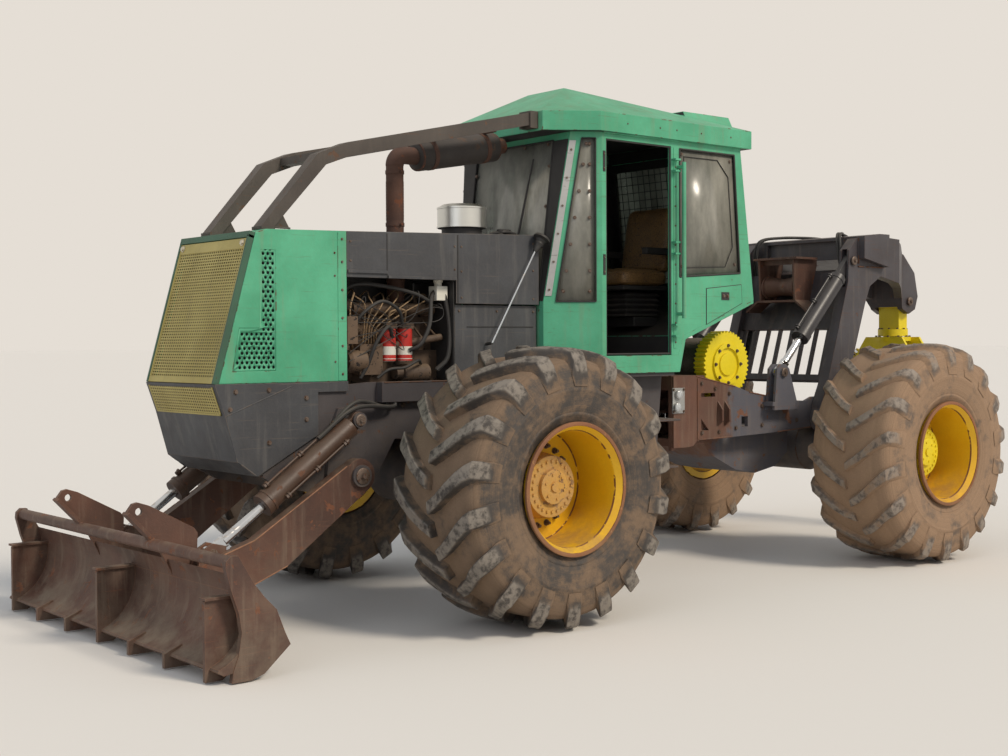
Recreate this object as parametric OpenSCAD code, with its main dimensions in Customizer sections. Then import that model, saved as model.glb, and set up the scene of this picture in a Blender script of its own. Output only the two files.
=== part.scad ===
// Grapple skidder. Frame: +X to the dozer blade, +Y to the left, +Z up,
// origin on the ground at the middle of the length. All sizes in millimetres.

/* [Chassis] */
// Distance from the front axle to the rear axle
wheelbase = 3640; // [3400:10:3900]
// Place of the front axle ahead of the origin
front_axle_x = 1540; // [1500:10:1600]
// Share of the wheelbase ahead of the articulation pin
pin_share = 0.5; // [0.49:0.01:0.51]
// Half width of the front frame outside its side plates
frame_half = 390; // [360:5:395]
// Half width of the rear frame outside its side plates
rear_half = 450; // [430:5:455]
// Thickness of the frame side plates
plate_t = 30; // [16:2:40]
// Radius of the articulation pins
hinge_pin_r = 40; // [30:1:50]

/* [Wheels] */
// Radius over the lug tips
tyre_r = 795; // [760:5:820]
// Height of the fresh lugs at the front
front_lug_h = 58; // [30:2:64]
// Height of the worn lugs at the rear
rear_lug_h = 36; // [24:2:50]
// Width of the tyre over its sidewalls
tyre_w = 710; // [640:10:740]
// Lugs on each side of a tyre
lug_count = 18; // [16:1:22]
// Distance of a wheel's middle from the centre line
track_half = 1150; // [1120:5:1200]
// Radius of the rim flange
rim_r = 370; // [340:5:390]

/* [Nose and hood] */
// Half width of the hood
hood_half = 400; // [380:5:410]
// Height of the hood's front edge
hood_front_z = 2236; // [2200:2:2260]
// Height of the hood's rear edge
hood_rear_z = 2289; // [2262:2:2320]
// Height where the green shell meets the belly plates
nose_split_z = 1388; // [1340:2:1420]
// Wall of the pressed shells
shell_t = 8; // [4:1:12]

/* [Cab] */
// Half width of the cab
cab_half = 660; // [620:5:690]
// Wall of the cab panels
cab_t = 30; // [20:2:40]
// Height of the cab's underside
cab_bottom_z = 1400; // [1395:5:1420]
// Height of the door sill
sill_z = 1515; // [1490:5:1540]
// Height of the fascia's lower edge
fascia_z = 2946; // [2900:2:2980]
// Height of the roof's outer edge
roof_edge_z = 3070; // [3040:2:3100]
// Height of the roof's raised middle
roof_top_z = 3300; // [3240:5:3340]

/* [Blade] */
// Half width of the blade
blade_half = 1300; // [1200:10:1400]
// Height of the blade's top edge
blade_top = 574; // [520:2:640]
// Clearance under the cutting edge
blade_clear = 8; // [4:1:30]
// Radius of the pin holes in the horns
horn_hole_r = 20; // [12:1:26]
// Thickness of a horn plate
horn_t = 25; // [16:1:32]
// Height of the arm pivot
arm_pivot_z = 860; // [820:5:900]

/* [Cylinders] */
// Barrel radius of the blade and arch cylinders
barrel_r = 62; // [50:1:68]
// Rod radius of the blade and arch cylinders
rod_r = 27; // [18:1:32]
// Radius of the cylinder pins
cyl_pin_r = 24; // [16:1:28]
// Width of a rod's eye
eye_w = 40; // [30:2:44]
// Barrel radius of the steering cylinders
steer_barrel_r = 42; // [34:1:46]

/* [Arch and grapple] */
// Distance of the arch arms from the centre line
arch_arm_y = 500; // [485:5:515]
// Width of an arch arm
arch_arm_w = 90; // [80:2:90]
// Height of the arch's top edge
arch_top_z = 2435; // [2400:5:2480]
// Radius of the winch's end discs
winch_r = 240; // [200:5:242]
// Radius of the fairlead roller
roller_r = 88; // [70:2:100]
// Height of the boom tip's pin
tip_z = 1935; // [1900:5:1960]
// Thickness of a tong plate
tong_t = 25; // [16:1:26]

/* [Hidden] */

// Running gap between pieces that turn or slide on each other
run_gap = 0.6;
// Gap between a moving piece and its neighbour
side_gap = 5;
// Gap between seated pieces
seat_gap = 0.3;

rear_axle_x = front_axle_x - wheelbase;
pin_x = front_axle_x - wheelbase * pin_share;
lug_step = 360 / lug_count;
lug_half = 30;
axle_z = tyre_r * cos(lug_step / 4) + lug_half * sin(lug_step / 4);

// Places on X from a distance ahead of the front axle, and ahead of the rear axle
function fx(d) = front_axle_x + d;
function rx(d) = rear_axle_x + d;

// Block between two opposite corners
module block(a, b) {
  translate(a) cube([b[0] - a[0], b[1] - a[1], b[2] - a[2]]);
}

// Plate standing along X, from an outline of [x, z] points
module plate_y(y0, y1, points) {
  translate([0, y1, 0]) rotate([90, 0, 0]) linear_extrude(y1 - y0) polygon(points);
}

// Plate across the machine, from an outline of [y, z] points
module plate_x(x0, x1, points) {
  translate([x0, 0, 0]) rotate([90, 0, 90]) linear_extrude(x1 - x0) polygon(points);
}

// Level plate from an outline of [x, y] points
module plate_z(z0, z1, points) {
  translate([0, 0, z0]) linear_extrude(z1 - z0) polygon(points);
}

// Round bar along Y
module bar_y(x, z, y0, y1, r) {
  translate([x, y1, z]) rotate([90, 0, 0]) cylinder(h = y1 - y0, r = r, $fn = 48);
}

// Round bar between two points
module bar(a, b, r, fn = 32) {
  d = b - a;
  translate(a) rotate([0, acos(d[2] / norm(d)), atan2(d[1], d[0])])
    cylinder(h = norm(d), r = r, $fn = fn);
}

// The same piece on both sides
module both_sides() {
  children();
  mirror([0, 1, 0]) children();
}

// Wheels and tyres
module wheel_place(x, side) {
  translate([x, side * track_half, axle_z]) rotate([90, 0, 0])
    mirror([0, 0, side > 0 ? 1 : 0]) children();
}

// Half width of the tyre's tread and of the rim it sits on
tread_half = 290;
rim_half = 330;
bead_gap = 0.3;

// Carcass outline as [radius, place across], from the bead to the shoulder
function carcass(lug_h) = [[rim_r - 18, rim_half - 24], [tyre_r - 250, tyre_w / 2 - 4],
  [tyre_r - lug_h - 24, tread_half + 4]];

function turned(r, a, y, z) = [r * cos(a) - y * sin(a), r * sin(a) + y * cos(a), z];

// Lug bar from the tread's middle to the shoulder, its foot sunk into the carcass.
// Stations across the tread: [place across, turn, half thickness, drop of the top]
module lug(lug_h) {
  foot = 60;
  stations = [[8, 0, lug_half, 0], [tread_half + 30, lug_step * 0.8, lug_half + 2, 34]];
  corners = [for (s = stations) for (c = [[-1.25, false], [1.25, false], [1, true], [-1, true]])
    turned(c[1] ? tyre_r - s[3] : tyre_r - lug_h - foot, s[1], c[0] * s[2], s[0])];
  hull() polyhedron(corners, [[for (i = [0:len(corners) - 1]) i]]);
}

// Tyre about the Z axis, with lugs from both shoulders in turn
module tyre(lug_h) {
  half = carcass(lug_h);
  n = len(half);
  outline = concat(half, [for (i = [n - 1:-1:0]) [half[i][0], -half[i][1]]]);
  rotate_extrude($fn = lug_count) polygon(outline);
  for (i = [0:lug_count - 1]) {
    rotate([0, 0, -90 + lug_step / 4 + i * lug_step]) lug(lug_h);
    rotate([0, 0, -90 - lug_step / 4 + i * lug_step]) mirror([0, 0, 1]) lug(lug_h);
  }
}

// Rim with a deep dished disc and the planetary hub in it, +Z outward
disc_z = -20;
hub_r = 185;
hub_depth = 160;
module wheel() {
  bead = (rim_r - 18) * cos(180 / lug_count) - bead_gap;
  rotate_extrude($fn = 96) polygon([
    [bead - 60, -rim_half + 30], [bead, -rim_half + 30], [bead, rim_half - 18],
    [bead + 12, rim_half - 12], [rim_r, rim_half + 6], [rim_r, rim_half + 20],
    [rim_r - 16, rim_half + 20], [bead - 22, rim_half - 22], [bead - 24, disc_z + 24],
    [hub_r - 20, disc_z + 24], [hub_r - 20, disc_z], [bead - 60, disc_z]]);
  // Planetary hub with a stepped cap
  translate([0, 0, -hub_depth]) cylinder(h = hub_depth + disc_z + 60, r = hub_r, $fn = 72);
  translate([0, 0, disc_z + 60]) cylinder(h = 90, r1 = hub_r, r2 = hub_r - 14, $fn = 72);
  translate([0, 0, disc_z + 150]) cylinder(h = 24, r = 96, $fn = 48);
}

// Axle housing across the machine with a differential bowl
axle_bowl_r = 195;
module axle(x) {
  hub_in = track_half - hub_depth - run_gap;
  bar_y(x, axle_z, -hub_in, hub_in, 95);
  both_sides() bar_y(x, axle_z, hub_in - 150, hub_in, 165);
  both_sides() translate([x, 260, axle_z]) rotate([-90, 0, 0])
    cylinder(h = 180, r1 = 190, r2 = 110, $fn = 48);
  bar_y(x, axle_z, -262, 262, axle_bowl_r);
}

// Front frame: side plates, cross plates and the tongue to the articulation pins
tongue_top = [1180, 1260];
tongue_low = [940, 1020];
frame_top_z = 1378;
arm_pivot_x = 820;
arm_y = 555;
arm_w = 70;
cyl_y = 510;
blade_cyl_top = [790, 1170];
blade_cyl_eye = [1727, 500];

module front_frame() {
  color("#35373b") {
    both_sides() plate_y(frame_half - plate_t, frame_half, [
      [fx(-1230), 820], [fx(-760), 790], [fx(-520), 900], [fx(-380), 1040], [fx(440), 1040],
      [fx(560), 850], [fx(900), 740], [fx(1200), 800], [fx(1330), 870], [fx(1330), 1330],
      [fx(620), frame_top_z], [fx(-1230), frame_top_z]]);
    inner = frame_half - plate_t;
    block([fx(1290), -inner, 880], [fx(1325), inner, 1320]);
    block([fx(400), -inner, 1045], [fx(460), inner, 1085]);
    block([fx(-560), -inner, 1060], [fx(-500), inner, 1250]);
    block([fx(-1230), -190, 830], [fx(-1190), 190, frame_top_z]);
    // Tongue plates with round ends on the articulation pins
    for (z = [tongue_top, tongue_low]) difference() {
      union() {
        plate_z(z[0], z[1], [[fx(-1180), -inner - 1], [fx(-1180), inner + 1], [fx(-1300), inner - 60],
          [pin_x, 150], [pin_x, -150], [fx(-1300), -inner + 60]]);
        translate([pin_x, 0, z[0]]) cylinder(h = z[1] - z[0], r = 150, $fn = 64);
      }
      translate([pin_x, 0, z[0] - 10])
        cylinder(h = z[1] - z[0] + 20, r = hinge_pin_r + run_gap, $fn = 64);
    }
    plate_z(tongue_low[1] - 5, tongue_top[0] + 5, [[fx(-1200), -110], [fx(-1200), 110],
      [pin_x + 160, 90], [pin_x + 160, -90]]);
    // Brackets that carry the blade arms and the tops of their cylinders
    both_sides() plate_y(frame_half - 1, frame_half + 26, [
      [fx(700), 1190], [fx(760), 1235], [fx(850), 1235], [fx(900), 1120], [fx(930), 860],
      [fx(860), 770], [fx(760), 780], [fx(640), 1040]]);
    both_sides() bar_y(fx(arm_pivot_x), arm_pivot_z, frame_half - 5, arm_y + arm_w / 2 + 22, 36);
    both_sides() bar_y(fx(arm_pivot_x), arm_pivot_z, arm_y + arm_w / 2 + 8,
      arm_y + arm_w / 2 + 22, 62);
    both_sides() bar_y(fx(blade_cyl_top[0]), blade_cyl_top[1], frame_half - 5,
      cyl_y + eye_w / 2 + 20, cyl_pin_r);
    both_sides() bar_y(fx(blade_cyl_top[0]), blade_cyl_top[1], cyl_y + eye_w / 2 + 6,
      cyl_y + eye_w / 2 + 20, 44);
    // Axle seats
    both_sides() block([fx(-190), inner - 160, axle_z + axle_bowl_r + seat_gap],
      [fx(190), frame_half, 1062]);
    // Deck plate that carries the cab, and pads that carry the nose plates
    block([fx(-1690), -cab_half + 20, frame_top_z - 1],
      [fx(-695), cab_half - 20, cab_bottom_z - seat_gap]);
    both_sides() block([fx(1000), frame_half - 1, 1200],
      [fx(1280), frame_half + nose_gap - seat_gap, 1320]);
    // Side rail with a step edge
    both_sides() block([fx(-20), frame_half - 1, 1262], [fx(570), frame_half + 60, 1378]);
    // Base pins of the steering cylinders between the tongue plates
    both_sides() translate([fx(steer_base[0]), steer_base[1], tongue_low[1] - 5])
      cylinder(h = tongue_top[0] - tongue_low[1] + 10, r = steer_pin_r, $fn = 32);
  }
}

module front_axle() {
  color("#2e3033") axle(front_axle_x);
}

// Steering cylinders: base pin on the front frame, rod's eye on the rear frame
steer_base = [-1300, 215];
steer_eye = [1600, 220];
steer_z = 1075;
steer_lug_z = [steer_z - 41, steer_z + 25];
steer_pin_r = 20;
steer_run = [rx(steer_eye[0]) - fx(steer_base[0]), steer_eye[1] - steer_base[1]];
steer_len = norm(steer_run);
steer_turn = atan2(steer_run[1], steer_run[0]);
steer_barrel_len = 385;
steer_rod_start = 235;

// Cylinder along +X from its base pin, eyes about Z
module steer_place() {
  translate([fx(steer_base[0]), steer_base[1], steer_z]) rotate([0, 0, steer_turn]) children();
}
module steer_barrel() {
  color("#2c2d30") steer_place() difference() {
    union() {
      translate([0, 0, -20]) cylinder(h = 40, r = 38, $fn = 40);
      translate([30, 0, 0]) rotate([0, 90, 0])
        cylinder(h = steer_barrel_len, r = steer_barrel_r, $fn = 48);
    }
    translate([0, 0, -30]) cylinder(h = 60, r = steer_pin_r + run_gap, $fn = 40);
    translate([60, 0, 0]) rotate([0, 90, 0]) cylinder(h = 500, r = rod_r - 4 + run_gap, $fn = 48);
    translate([-60, -60, 20]) cube([110, 120, 60]);
    translate([-60, -60, -80]) cube([110, 120, 60]);
  }
}
module steer_rod() {
  color("#c9ccd0") steer_place() difference() {
    union() {
      translate([steer_rod_start, 0, 0]) rotate([0, 90, 0])
        cylinder(h = steer_len - steer_rod_start - 100, r = rod_r - 4, $fn = 48);
      translate([steer_len - 110, -20, -18]) cube([90, 40, 36]);
      translate([steer_len, 0, -20]) cylinder(h = 40, r = 38, $fn = 40);
    }
    translate([steer_len, 0, -30]) cylinder(h = 60, r = steer_pin_r + 2, $fn = 40);
  }
}

// Nose: belly plates under the radiator, green shell and brass grille
grille_top = [1404, 2200];
grille_low = [1632, 1386];
chin = [1572, 1218];
nose_low = [1499, 962];
shell_back = 776;
nose_gap = 12;

module nose_plates() {
  half = frame_half + nose_gap;
  color("#34373c") difference() {
    plate_y(-half, half, [[fx(grille_low[0]), nose_split_z], [fx(chin[0]), chin[1]],
      [fx(nose_low[0]), nose_low[1]], [fx(1373), 877], [fx(1336), 886], [fx(1336), nose_split_z]]);
    plate_y(-half + shell_t, half - shell_t, [[fx(grille_low[0]) - 12, nose_split_z + 1],
      [fx(chin[0]) - 12, chin[1]], [fx(nose_low[0]) - 12, nose_low[1] + 6], [fx(1373), 887],
      [fx(1335), 897], [fx(1335), nose_split_z + 1]]);
  }
  color("#34373c") both_sides() plate_y(half, half + shell_t, [[fx(grille_low[0]), nose_split_z],
    [fx(chin[0]), chin[1]], [fx(nose_low[0]), nose_low[1]], [fx(1373), 877], [fx(980), 1090],
    [fx(980), 1330], [fx(shell_back), 1330], [fx(shell_back), nose_split_z]]);
}

// Outline of a side vent, grown by a gap: a tall rear column and a short front one
function vent(gap) = [[fx(1246) - gap, 1456 - gap], [fx(1516) + gap, 1456 - gap],
  [fx(1474) + gap, 1690 + gap], [fx(1348) + gap, 1690 + gap], [fx(1336) + gap, 2122 + gap],
  [fx(1246) - gap, 2122 + gap]];
vent_pitch = 30;
vent_hole_r = 9;
vent_t = 4;
module side_vents() {
  rows = 25;
  color("#3f8f6f") both_sides() translate([0, hood_half - 2, 0]) rotate([90, 0, 0])
    linear_extrude(vent_t) difference() {
      polygon(vent(0));
      for (i = [0:rows]) {
        z = 1476 + i * vent_pitch * sin(60);
        last = z < 1672 ? 1496 - (z - 1456) * 0.18 : 1324;
        for (x = [1262 + (i % 2) * vent_pitch / 2:vent_pitch:last])
          translate([fx(x), z]) circle(r = vent_hole_r, $fn = 20);
      }
    }
}

module grille_shell() {
  front_top = fx(grille_top[0]) - 36;
  front_low = fx(grille_low[0]) - 32;
  color("#5cb98f") difference() {
    plate_y(-hood_half, hood_half, [[front_low, nose_split_z + seat_gap], [front_top, 2214],
      [fx(1300), hood_front_z], [fx(shell_back), hood_front_z + 12],
      [fx(shell_back), nose_split_z + seat_gap]]);
    plate_y(-hood_half + shell_t, hood_half - shell_t, [[front_low + 60, nose_split_z - 2],
      [front_top + 60, 2200], [fx(1296), hood_front_z - shell_t],
      [fx(shell_back) - 2, hood_front_z + 12 - shell_t], [fx(shell_back) - 2, nose_split_z - 2]]);
    // Windows of the side vents
    plate_y(-hood_half - 5, hood_half + 5, vent(seat_gap));
  }
}

// Grille: a plate of square holes between a plain header and the band at the split,
// with a plain panel below it on the chin's slope
grille_hole = 36;
grille_pitch = 50;
grille_t = 28;
module grille() {
  h = norm([grille_low[0] - grille_top[0], grille_top[1] - grille_low[1]]);
  lean = atan2(grille_low[0] - grille_top[0], grille_top[1] - grille_low[1]);
  half = hood_half - 4;
  columns = floor((2 * half - 60) / grille_pitch);
  rows = floor((h - 130) / grille_pitch);
  start = -(columns * grille_pitch - grille_pitch + grille_hole) / 2;
  color("#a89a5e") {
    translate([fx(grille_low[0]), 0, grille_low[1] + seat_gap]) rotate([0, -lean, 0])
      translate([-grille_t, 0, 0]) rotate([90, 0, 90]) linear_extrude(grille_t) difference() {
        translate([-half, 10]) square([2 * half, h - 10]);
        for (i = [0:columns - 1], j = [0:rows - 1])
          translate([start + i * grille_pitch, 44 + j * grille_pitch]) square(grille_hole);
      }
    plate_y(-half + 30, half - 30, [[chin_x(1380) + seat_gap, 1380], [chin_x(1380) + 8, 1380],
      [chin_x(1250) + 8, 1250], [chin_x(1250) + seat_gap, 1250]]);
  }
}
// Front face of the belly plates at a height
function chin_x(z) = fx(chin[0]) + (z - chin[1]) * (grille_low[0] - chin[0]) / (nose_split_z - chin[1]);

// Hood top, its rear side panels and the bulkhead under them
bay_top_z = 1984;
hood_rear = -690;
// Height of the hood's top at a distance ahead of the front axle
function hood_top(d) = hood_front_z + 12
  + (hood_rear_z - hood_front_z - 12) * (shell_back - d) / (shell_back - hood_rear);
module hood() {
  color("#3b3f47") difference() {
    plate_y(-hood_half, hood_half, [[fx(shell_back) - seat_gap, bay_top_z],
      [fx(shell_back) - seat_gap, hood_top(shell_back)], [fx(hood_rear), hood_top(hood_rear)],
      [fx(hood_rear), 1843], [fx(-20), 1843], [fx(-20), bay_top_z]]);
    plate_y(-hood_half + shell_t, hood_half - shell_t, [[fx(shell_back) + 2, bay_top_z - 10],
      [fx(shell_back) + 2, hood_top(shell_back) - shell_t],
      [fx(hood_rear) - 2, hood_top(hood_rear) - shell_t],
      [fx(hood_rear) - 2, 1800], [fx(-12), 1800], [fx(-12), bay_top_z - 10]]);
    // Holes for the air intake and the exhaust
    translate([fx(-300), 100, 2200]) cylinder(h = 200, r = 100, $fn = 48);
    translate([fx(220), 100, 2200]) cylinder(h = 200, r = 66, $fn = 48);
  }
  // Lower rear panels and the radiator bulkhead
  color("#3b3f47") both_sides() plate_y(hood_half - 34, hood_half - 34 + shell_t, [
    [fx(-24), frame_top_z + seat_gap], [fx(-24), 1838], [fx(hood_rear), 1838],
    [fx(hood_rear), frame_top_z + seat_gap]]);
}

// Engine: block with the pan and heads in the open bay
module engine() {
  color("#4a453f") {
    block([fx(-60), -210, 1090], [fx(650), 210, 1560]);
    block([fx(-20), -150, 1560], [fx(620), 150, 1790]);
    block([fx(650), -60, 1300], [fx(700), 60, 1700]);
    translate([fx(640), 0, 1480]) rotate([0, 90, 0]) cylinder(h = 100, r = 250, $fn = 48);
    for (i = [0:5]) translate([fx(40) + i * 104, -120, 1790]) cube([80, 140, 60]);
    both_sides() block([fx(20), 205, 1180], [fx(120), frame_half - plate_t - seat_gap, 1240]);
    both_sides() block([fx(500), 205, 1180], [fx(600), frame_half - plate_t - seat_gap, 1240]);
  }
}

module engine_dress() {
  color("#b03024") for (d = [300, 420]) {
    translate([fx(d), 300, 1500]) cylinder(h = 190, r = 46, $fn = 32);
    block([fx(d) - 40, 208, 1690], [fx(d) + 40, 340, 1724]);
  }
  color("#77706a") {
    block([fx(480), 210 + seat_gap, 1420], [fx(640), 330, 1600]);
    for (i = [0:5]) bar([fx(60 + i * 100), 157, 1740], [fx(60 + i * 100), 290, 1650 - 18 * i], 7, 16);
    bar([fx(20), 290, 1640], [fx(600), 290, 1560], 22, 24);
  }
}

module pre_cleaner() {
  color("#2b2c2e") {
    translate([fx(-300), 100, 2282]) cylinder(h = 50, r = 128, $fn = 64);
    translate([fx(-300), 100, 2220]) cylinder(h = 64, r = 100 - seat_gap, $fn = 48);
  }
  color("#c8c9c4") translate([fx(-300), 100, 2330]) cylinder(h = 130, r = 155, $fn = 72);
  color("#c8c9c4") translate([fx(-300), 100, 2460]) cylinder(h = 22, r1 = 155, r2 = 120, $fn = 72);
}

module exhaust() {
  color("#5a3f30") {
    translate([fx(220), 100, 1790 + seat_gap]) cylinder(h = 900, r = 54, $fn = 48);
    translate([fx(150), 100, 2690]) rotate([90, 0, 0]) rotate_extrude(angle = 90, $fn = 48)
      translate([70, 0]) circle(r = 56, $fn = 40);
    bar([fx(152), 100, 2760], [fx(40), 100, 2760], 54, 48);
  }
  color("#3a3633") bar([fx(60), 100, 2760], [fx(-560), 100, 2870], 92, 56);
  color("#5a3f30") bar([fx(-560), 100, 2870], [fx(-640), 100, 2884], 50, 48);
}

// Limb riser tubes from the nose to the front of the roof, a list of [x, y, z] bends
riser_w = 90;
riser_h = 80;
riser = [[1262, 293, 2248], [900, 300, 2655], [720, 305, 2725], [-642, 385, 3027]];
// Lean of the mitre plane at a bend, as the direction its plate points to
function riser_lean(i) = let(a = riser[max(i - 1, 0)], b = riser[min(i + 1, len(riser) - 1)])
  atan2(b[2] - a[2], a[0] - b[0]);
module riser_station(i) {
  lean = i == 0 ? 90 : i == len(riser) - 1 ? 0 : riser_lean(i);
  translate([fx(riser[i][0]), riser[i][1], riser[i][2]]) rotate([0, lean, 0])
    translate([-1, -riser_w / 2, -riser_h / 2]) cube([2, riser_w, riser_h]);
}
module canopy_bars() {
  color("#3a3230") both_sides() for (i = [0:2]) hull() {
    riser_station(i);
    riser_station(i + 1);
  }
  color("#3a3230") {
    block([fx(740), -265, 2680], [fx(810), 265, 2725]);
    both_sides() block([fx(1215), 240, hood_front_z + 2 + seat_gap],
      [fx(1300), 350, hood_front_z + 20]);
    both_sides() block([fx(roof_front) + seat_gap, 330, fascia_z + 14],
      [fx(-590), 440, roof_edge_z - 4]);
  }
}

// Cab
cab_front = -700;
roof_front = -655;
side_front = -1000;
door_front = -1000;
door_rear = -1640;
cab_back_top = -2337;
cab_back_low = -2480;
pane_half = 430;
side_low_z = 1862;
deck_front = -1756;
deck_front_z = 1646;
deck_back_z = 1894;
rear_low_z = 2040;

// Plan of the cab at a height, as [x, y] points from the nose pane round one side
function cab_plan(inset, back) = [[fx(cab_front) - inset, pane_half - inset / 2],
  [fx(side_front), cab_half - inset], [fx(back) + inset, cab_half - inset],
  [fx(back) + inset, -cab_half + inset], [fx(side_front), -cab_half + inset],
  [fx(cab_front) - inset, -pane_half + inset / 2]];

module cab_floor() {
  color("#4f9d7a") {
    // Foot well with its sill, stepping up to the seat deck
    difference() {
      plate_z(cab_bottom_z, sill_z, cab_plan(0, -1700));
      plate_z(cab_bottom_z + 24, sill_z + 2, cab_plan(cab_t, -1700));
    }
    plate_y(-cab_half, cab_half, [[fx(-1700) + 1, cab_bottom_z], [fx(-1700) - 24, cab_bottom_z],
      [fx(-1780), 1620], [fx(cab_back_low), deck_back_z - 24], [fx(cab_back_low), deck_back_z],
      [fx(deck_front), deck_front_z], [fx(-1704) - seat_gap, sill_z], [fx(-1700) + 1, sill_z]]);
  }
}

// Side view of the cab between sill and fascia, moved in from its front and rear walls
windscreen_top = -840;
function cab_side(inset, drop) = [[fx(cab_front) - inset, sill_z - drop],
  [fx(cab_front) - inset, side_low_z], [fx(windscreen_top) - inset, fascia_z + drop / 10],
  [fx(cab_back_top) + inset, fascia_z + drop / 10],
  [fx(cab_back_low) + inset, deck_back_z + seat_gap - drop],
  [fx(deck_front), deck_front_z + seat_gap - drop], [fx(-1704) + drop, sill_z - drop]];

// Place on the angled side-front wall, as a share of its run from the windscreen's edge
function angled(t, out) = [fx(cab_front + (side_front - cab_front) * t) + out * 0.6,
  pane_half + (cab_half - pane_half) * t + out * 0.8];

// Room of an angled side-front window, grown by a margin
module angled_window(grow, depth_in, depth_out) {
  intersection() {
    plate_z(side_low_z - grow, fascia_z - 40 + grow, [angled(-0.3, depth_out),
      angled(0.9, depth_out), angled(0.9, -depth_in), angled(-0.3, -depth_in)]);
    plate_y(0, cab_half + 40, [[fx(cab_front) - 62 + grow, side_low_z - 10],
      [fx(windscreen_top) - 62 + grow, fascia_z], [fx(side_front) - 40, fascia_z],
      [fx(side_front) - 40, side_low_z - 10]]);
  }
}

// Cab walls: the hollow body of posts and panels with its windows and doorways cut
module cab_frame() {
  color("#5cb98f") difference() {
    intersection() {
      plate_z(sill_z + seat_gap, fascia_z, cab_plan(0, cab_back_low));
      plate_y(-cab_half - 10, cab_half + 10, cab_side(0, 0));
    }
    intersection() {
      plate_z(sill_z - 200, fascia_z + 20, cab_plan(cab_t, cab_back_low - 50));
      plate_y(-cab_half - 10, cab_half + 10, cab_side(cab_t, 100));
    }
    // Doorways, left and right
    block([fx(door_rear), -cab_half - 20, sill_z - 5],
      [fx(door_front) - 36, cab_half + 20, fascia_z - 40]);
    // Rear side windows and back window
    plate_y(-cab_half - 20, cab_half + 20, rear_window(0));
    block([fx(cab_back_low) - 10, -cab_half + 90, rear_low_z],
      [fx(-2200), cab_half - 90, fascia_z - 60]);
    both_sides() angled_window(0, 60, 40);
    block([fx(cab_front) - 200, -pane_half + 40, side_low_z],
      [fx(cab_front) + 20, pane_half - 40, fascia_z - 40]);
  }
  // Hinge lugs on the rear posts of both doorways, with the right door's pins
  color("#5cb98f") for (z = hinge_z) {
    for (low = [z - knuckle_h / 2 - 14, z + knuckle_h / 2 + 2]) both_sides()
      block([fx(door_hinge_x) - 40, cab_half - 1, low],
        [fx(door_hinge_x) + 10, cab_half + door_hinge_out + 14, low + 12]);
    translate([fx(door_hinge_x), -cab_half - door_hinge_out, z - knuckle_h / 2 - 14])
      cylinder(h = knuckle_h + 28, r = door_pin_r, $fn = 32);
  }
}

// Outline of a rear side window, shrunk by a gap
function rear_window(gap) = [[fx(-1720) - gap, rear_low_z + gap],
  [fx(-1720) - gap, fascia_z - 50 - gap], [fx(cab_back_top) + 66 + gap, fascia_z - 50 - gap],
  [fx(cab_back_top) + 4 + gap, rear_low_z + 40 + gap]];

module cab_roof() {
  edge_back = -2420;
  rim_half = cab_half + 34;
  rim_points = [[fx(roof_front), 480], [fx(side_front) + 40, rim_half], [fx(edge_back), rim_half],
    [fx(edge_back), -rim_half], [fx(side_front) + 40, -rim_half], [fx(roof_front), -480]];
  color("#54b189") {
    difference() {
      plate_z(fascia_z + seat_gap, roof_edge_z, rim_points);
      plate_z(fascia_z - 2, roof_edge_z - 30, cab_plan(cab_t, cab_back_top));
    }
    // Crown, falling from its front ridge to the rear
    hull() {
      plate_z(roof_edge_z - 1, roof_edge_z, rim_points);
      block([fx(-1130), -180, roof_top_z - 2], [fx(-1110), 180, roof_top_z]);
      block([fx(-2390), -300, roof_top_z - 170], [fx(-2380), 300, roof_top_z - 168]);
    }
    // Air unit across the rear
    plate_x(fx(-2400), fx(-1930), [[-560, roof_edge_z - 1], [560, roof_edge_z - 1],
      [500, roof_top_z - 112], [-500, roof_top_z - 112]]);
  }
}

// Front face of the windscreen's pane and rear face of the back window's at a height
function screen_x(z) = fx(cab_front) - 12
  - (cab_front - windscreen_top) * (z - side_low_z) / (fascia_z - side_low_z);
function back_x(z) = fx(cab_back_low) + 12
  + (cab_back_top - cab_back_low) * (z - deck_back_z) / (fascia_z - deck_back_z);

// Hazy panes, each inside its window with a small gap
module cab_windows() {
  t = 8;
  screen_low = side_low_z + seat_gap;
  screen_high = fascia_z - 40 - seat_gap;
  back_bottom = rear_low_z + seat_gap;
  back_high = fascia_z - 60 - seat_gap;
  color("#b9c0bd") {
    both_sides() plate_y(cab_half - 22, cab_half - 22 + t, rear_window(seat_gap));
    both_sides() angled_window(-seat_gap, 22, -14);
    // Windscreen and back window, leaning with their walls
    plate_y(-pane_half + 40 + seat_gap, pane_half - 40 - seat_gap, [
      [screen_x(screen_low), screen_low], [screen_x(screen_high), screen_high],
      [screen_x(screen_high) - t, screen_high], [screen_x(screen_low) - t, screen_low]]);
    plate_y(-cab_half + 90 + seat_gap, cab_half - 90 - seat_gap, [
      [back_x(back_bottom), back_bottom], [back_x(back_high), back_high],
      [back_x(back_high) + t, back_high], [back_x(back_bottom) + t, back_bottom]]);
  }
}

// Height of the sloping seat deck
function deck_z(d) = deck_front_z
  + (deck_front - d) * (deck_back_z - deck_front_z) / (deck_front - cab_back_low);

module seat() {
  pan_z = 1990;
  pan_t = 100;
  color("#8a6a42") {
    block([fx(-2080), -230, pan_z], [fx(-1620), 230, pan_z + pan_t]);
    hull() {
      block([fx(-2100), -220, pan_z + pan_t + seat_gap], [fx(-2010), 220, pan_z + pan_t + 10]);
      block([fx(-2170), -180, 2520], [fx(-2110), 180, 2530]);
    }
  }
  color("#2b2b2b") plate_y(-180, 180, [[fx(-2000), deck_z(-2000) + seat_gap],
    [fx(-2000), pan_z - seat_gap], [fx(-1770), pan_z - seat_gap],
    [fx(-1770), deck_z(-1770) + seat_gap]]);
}

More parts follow.
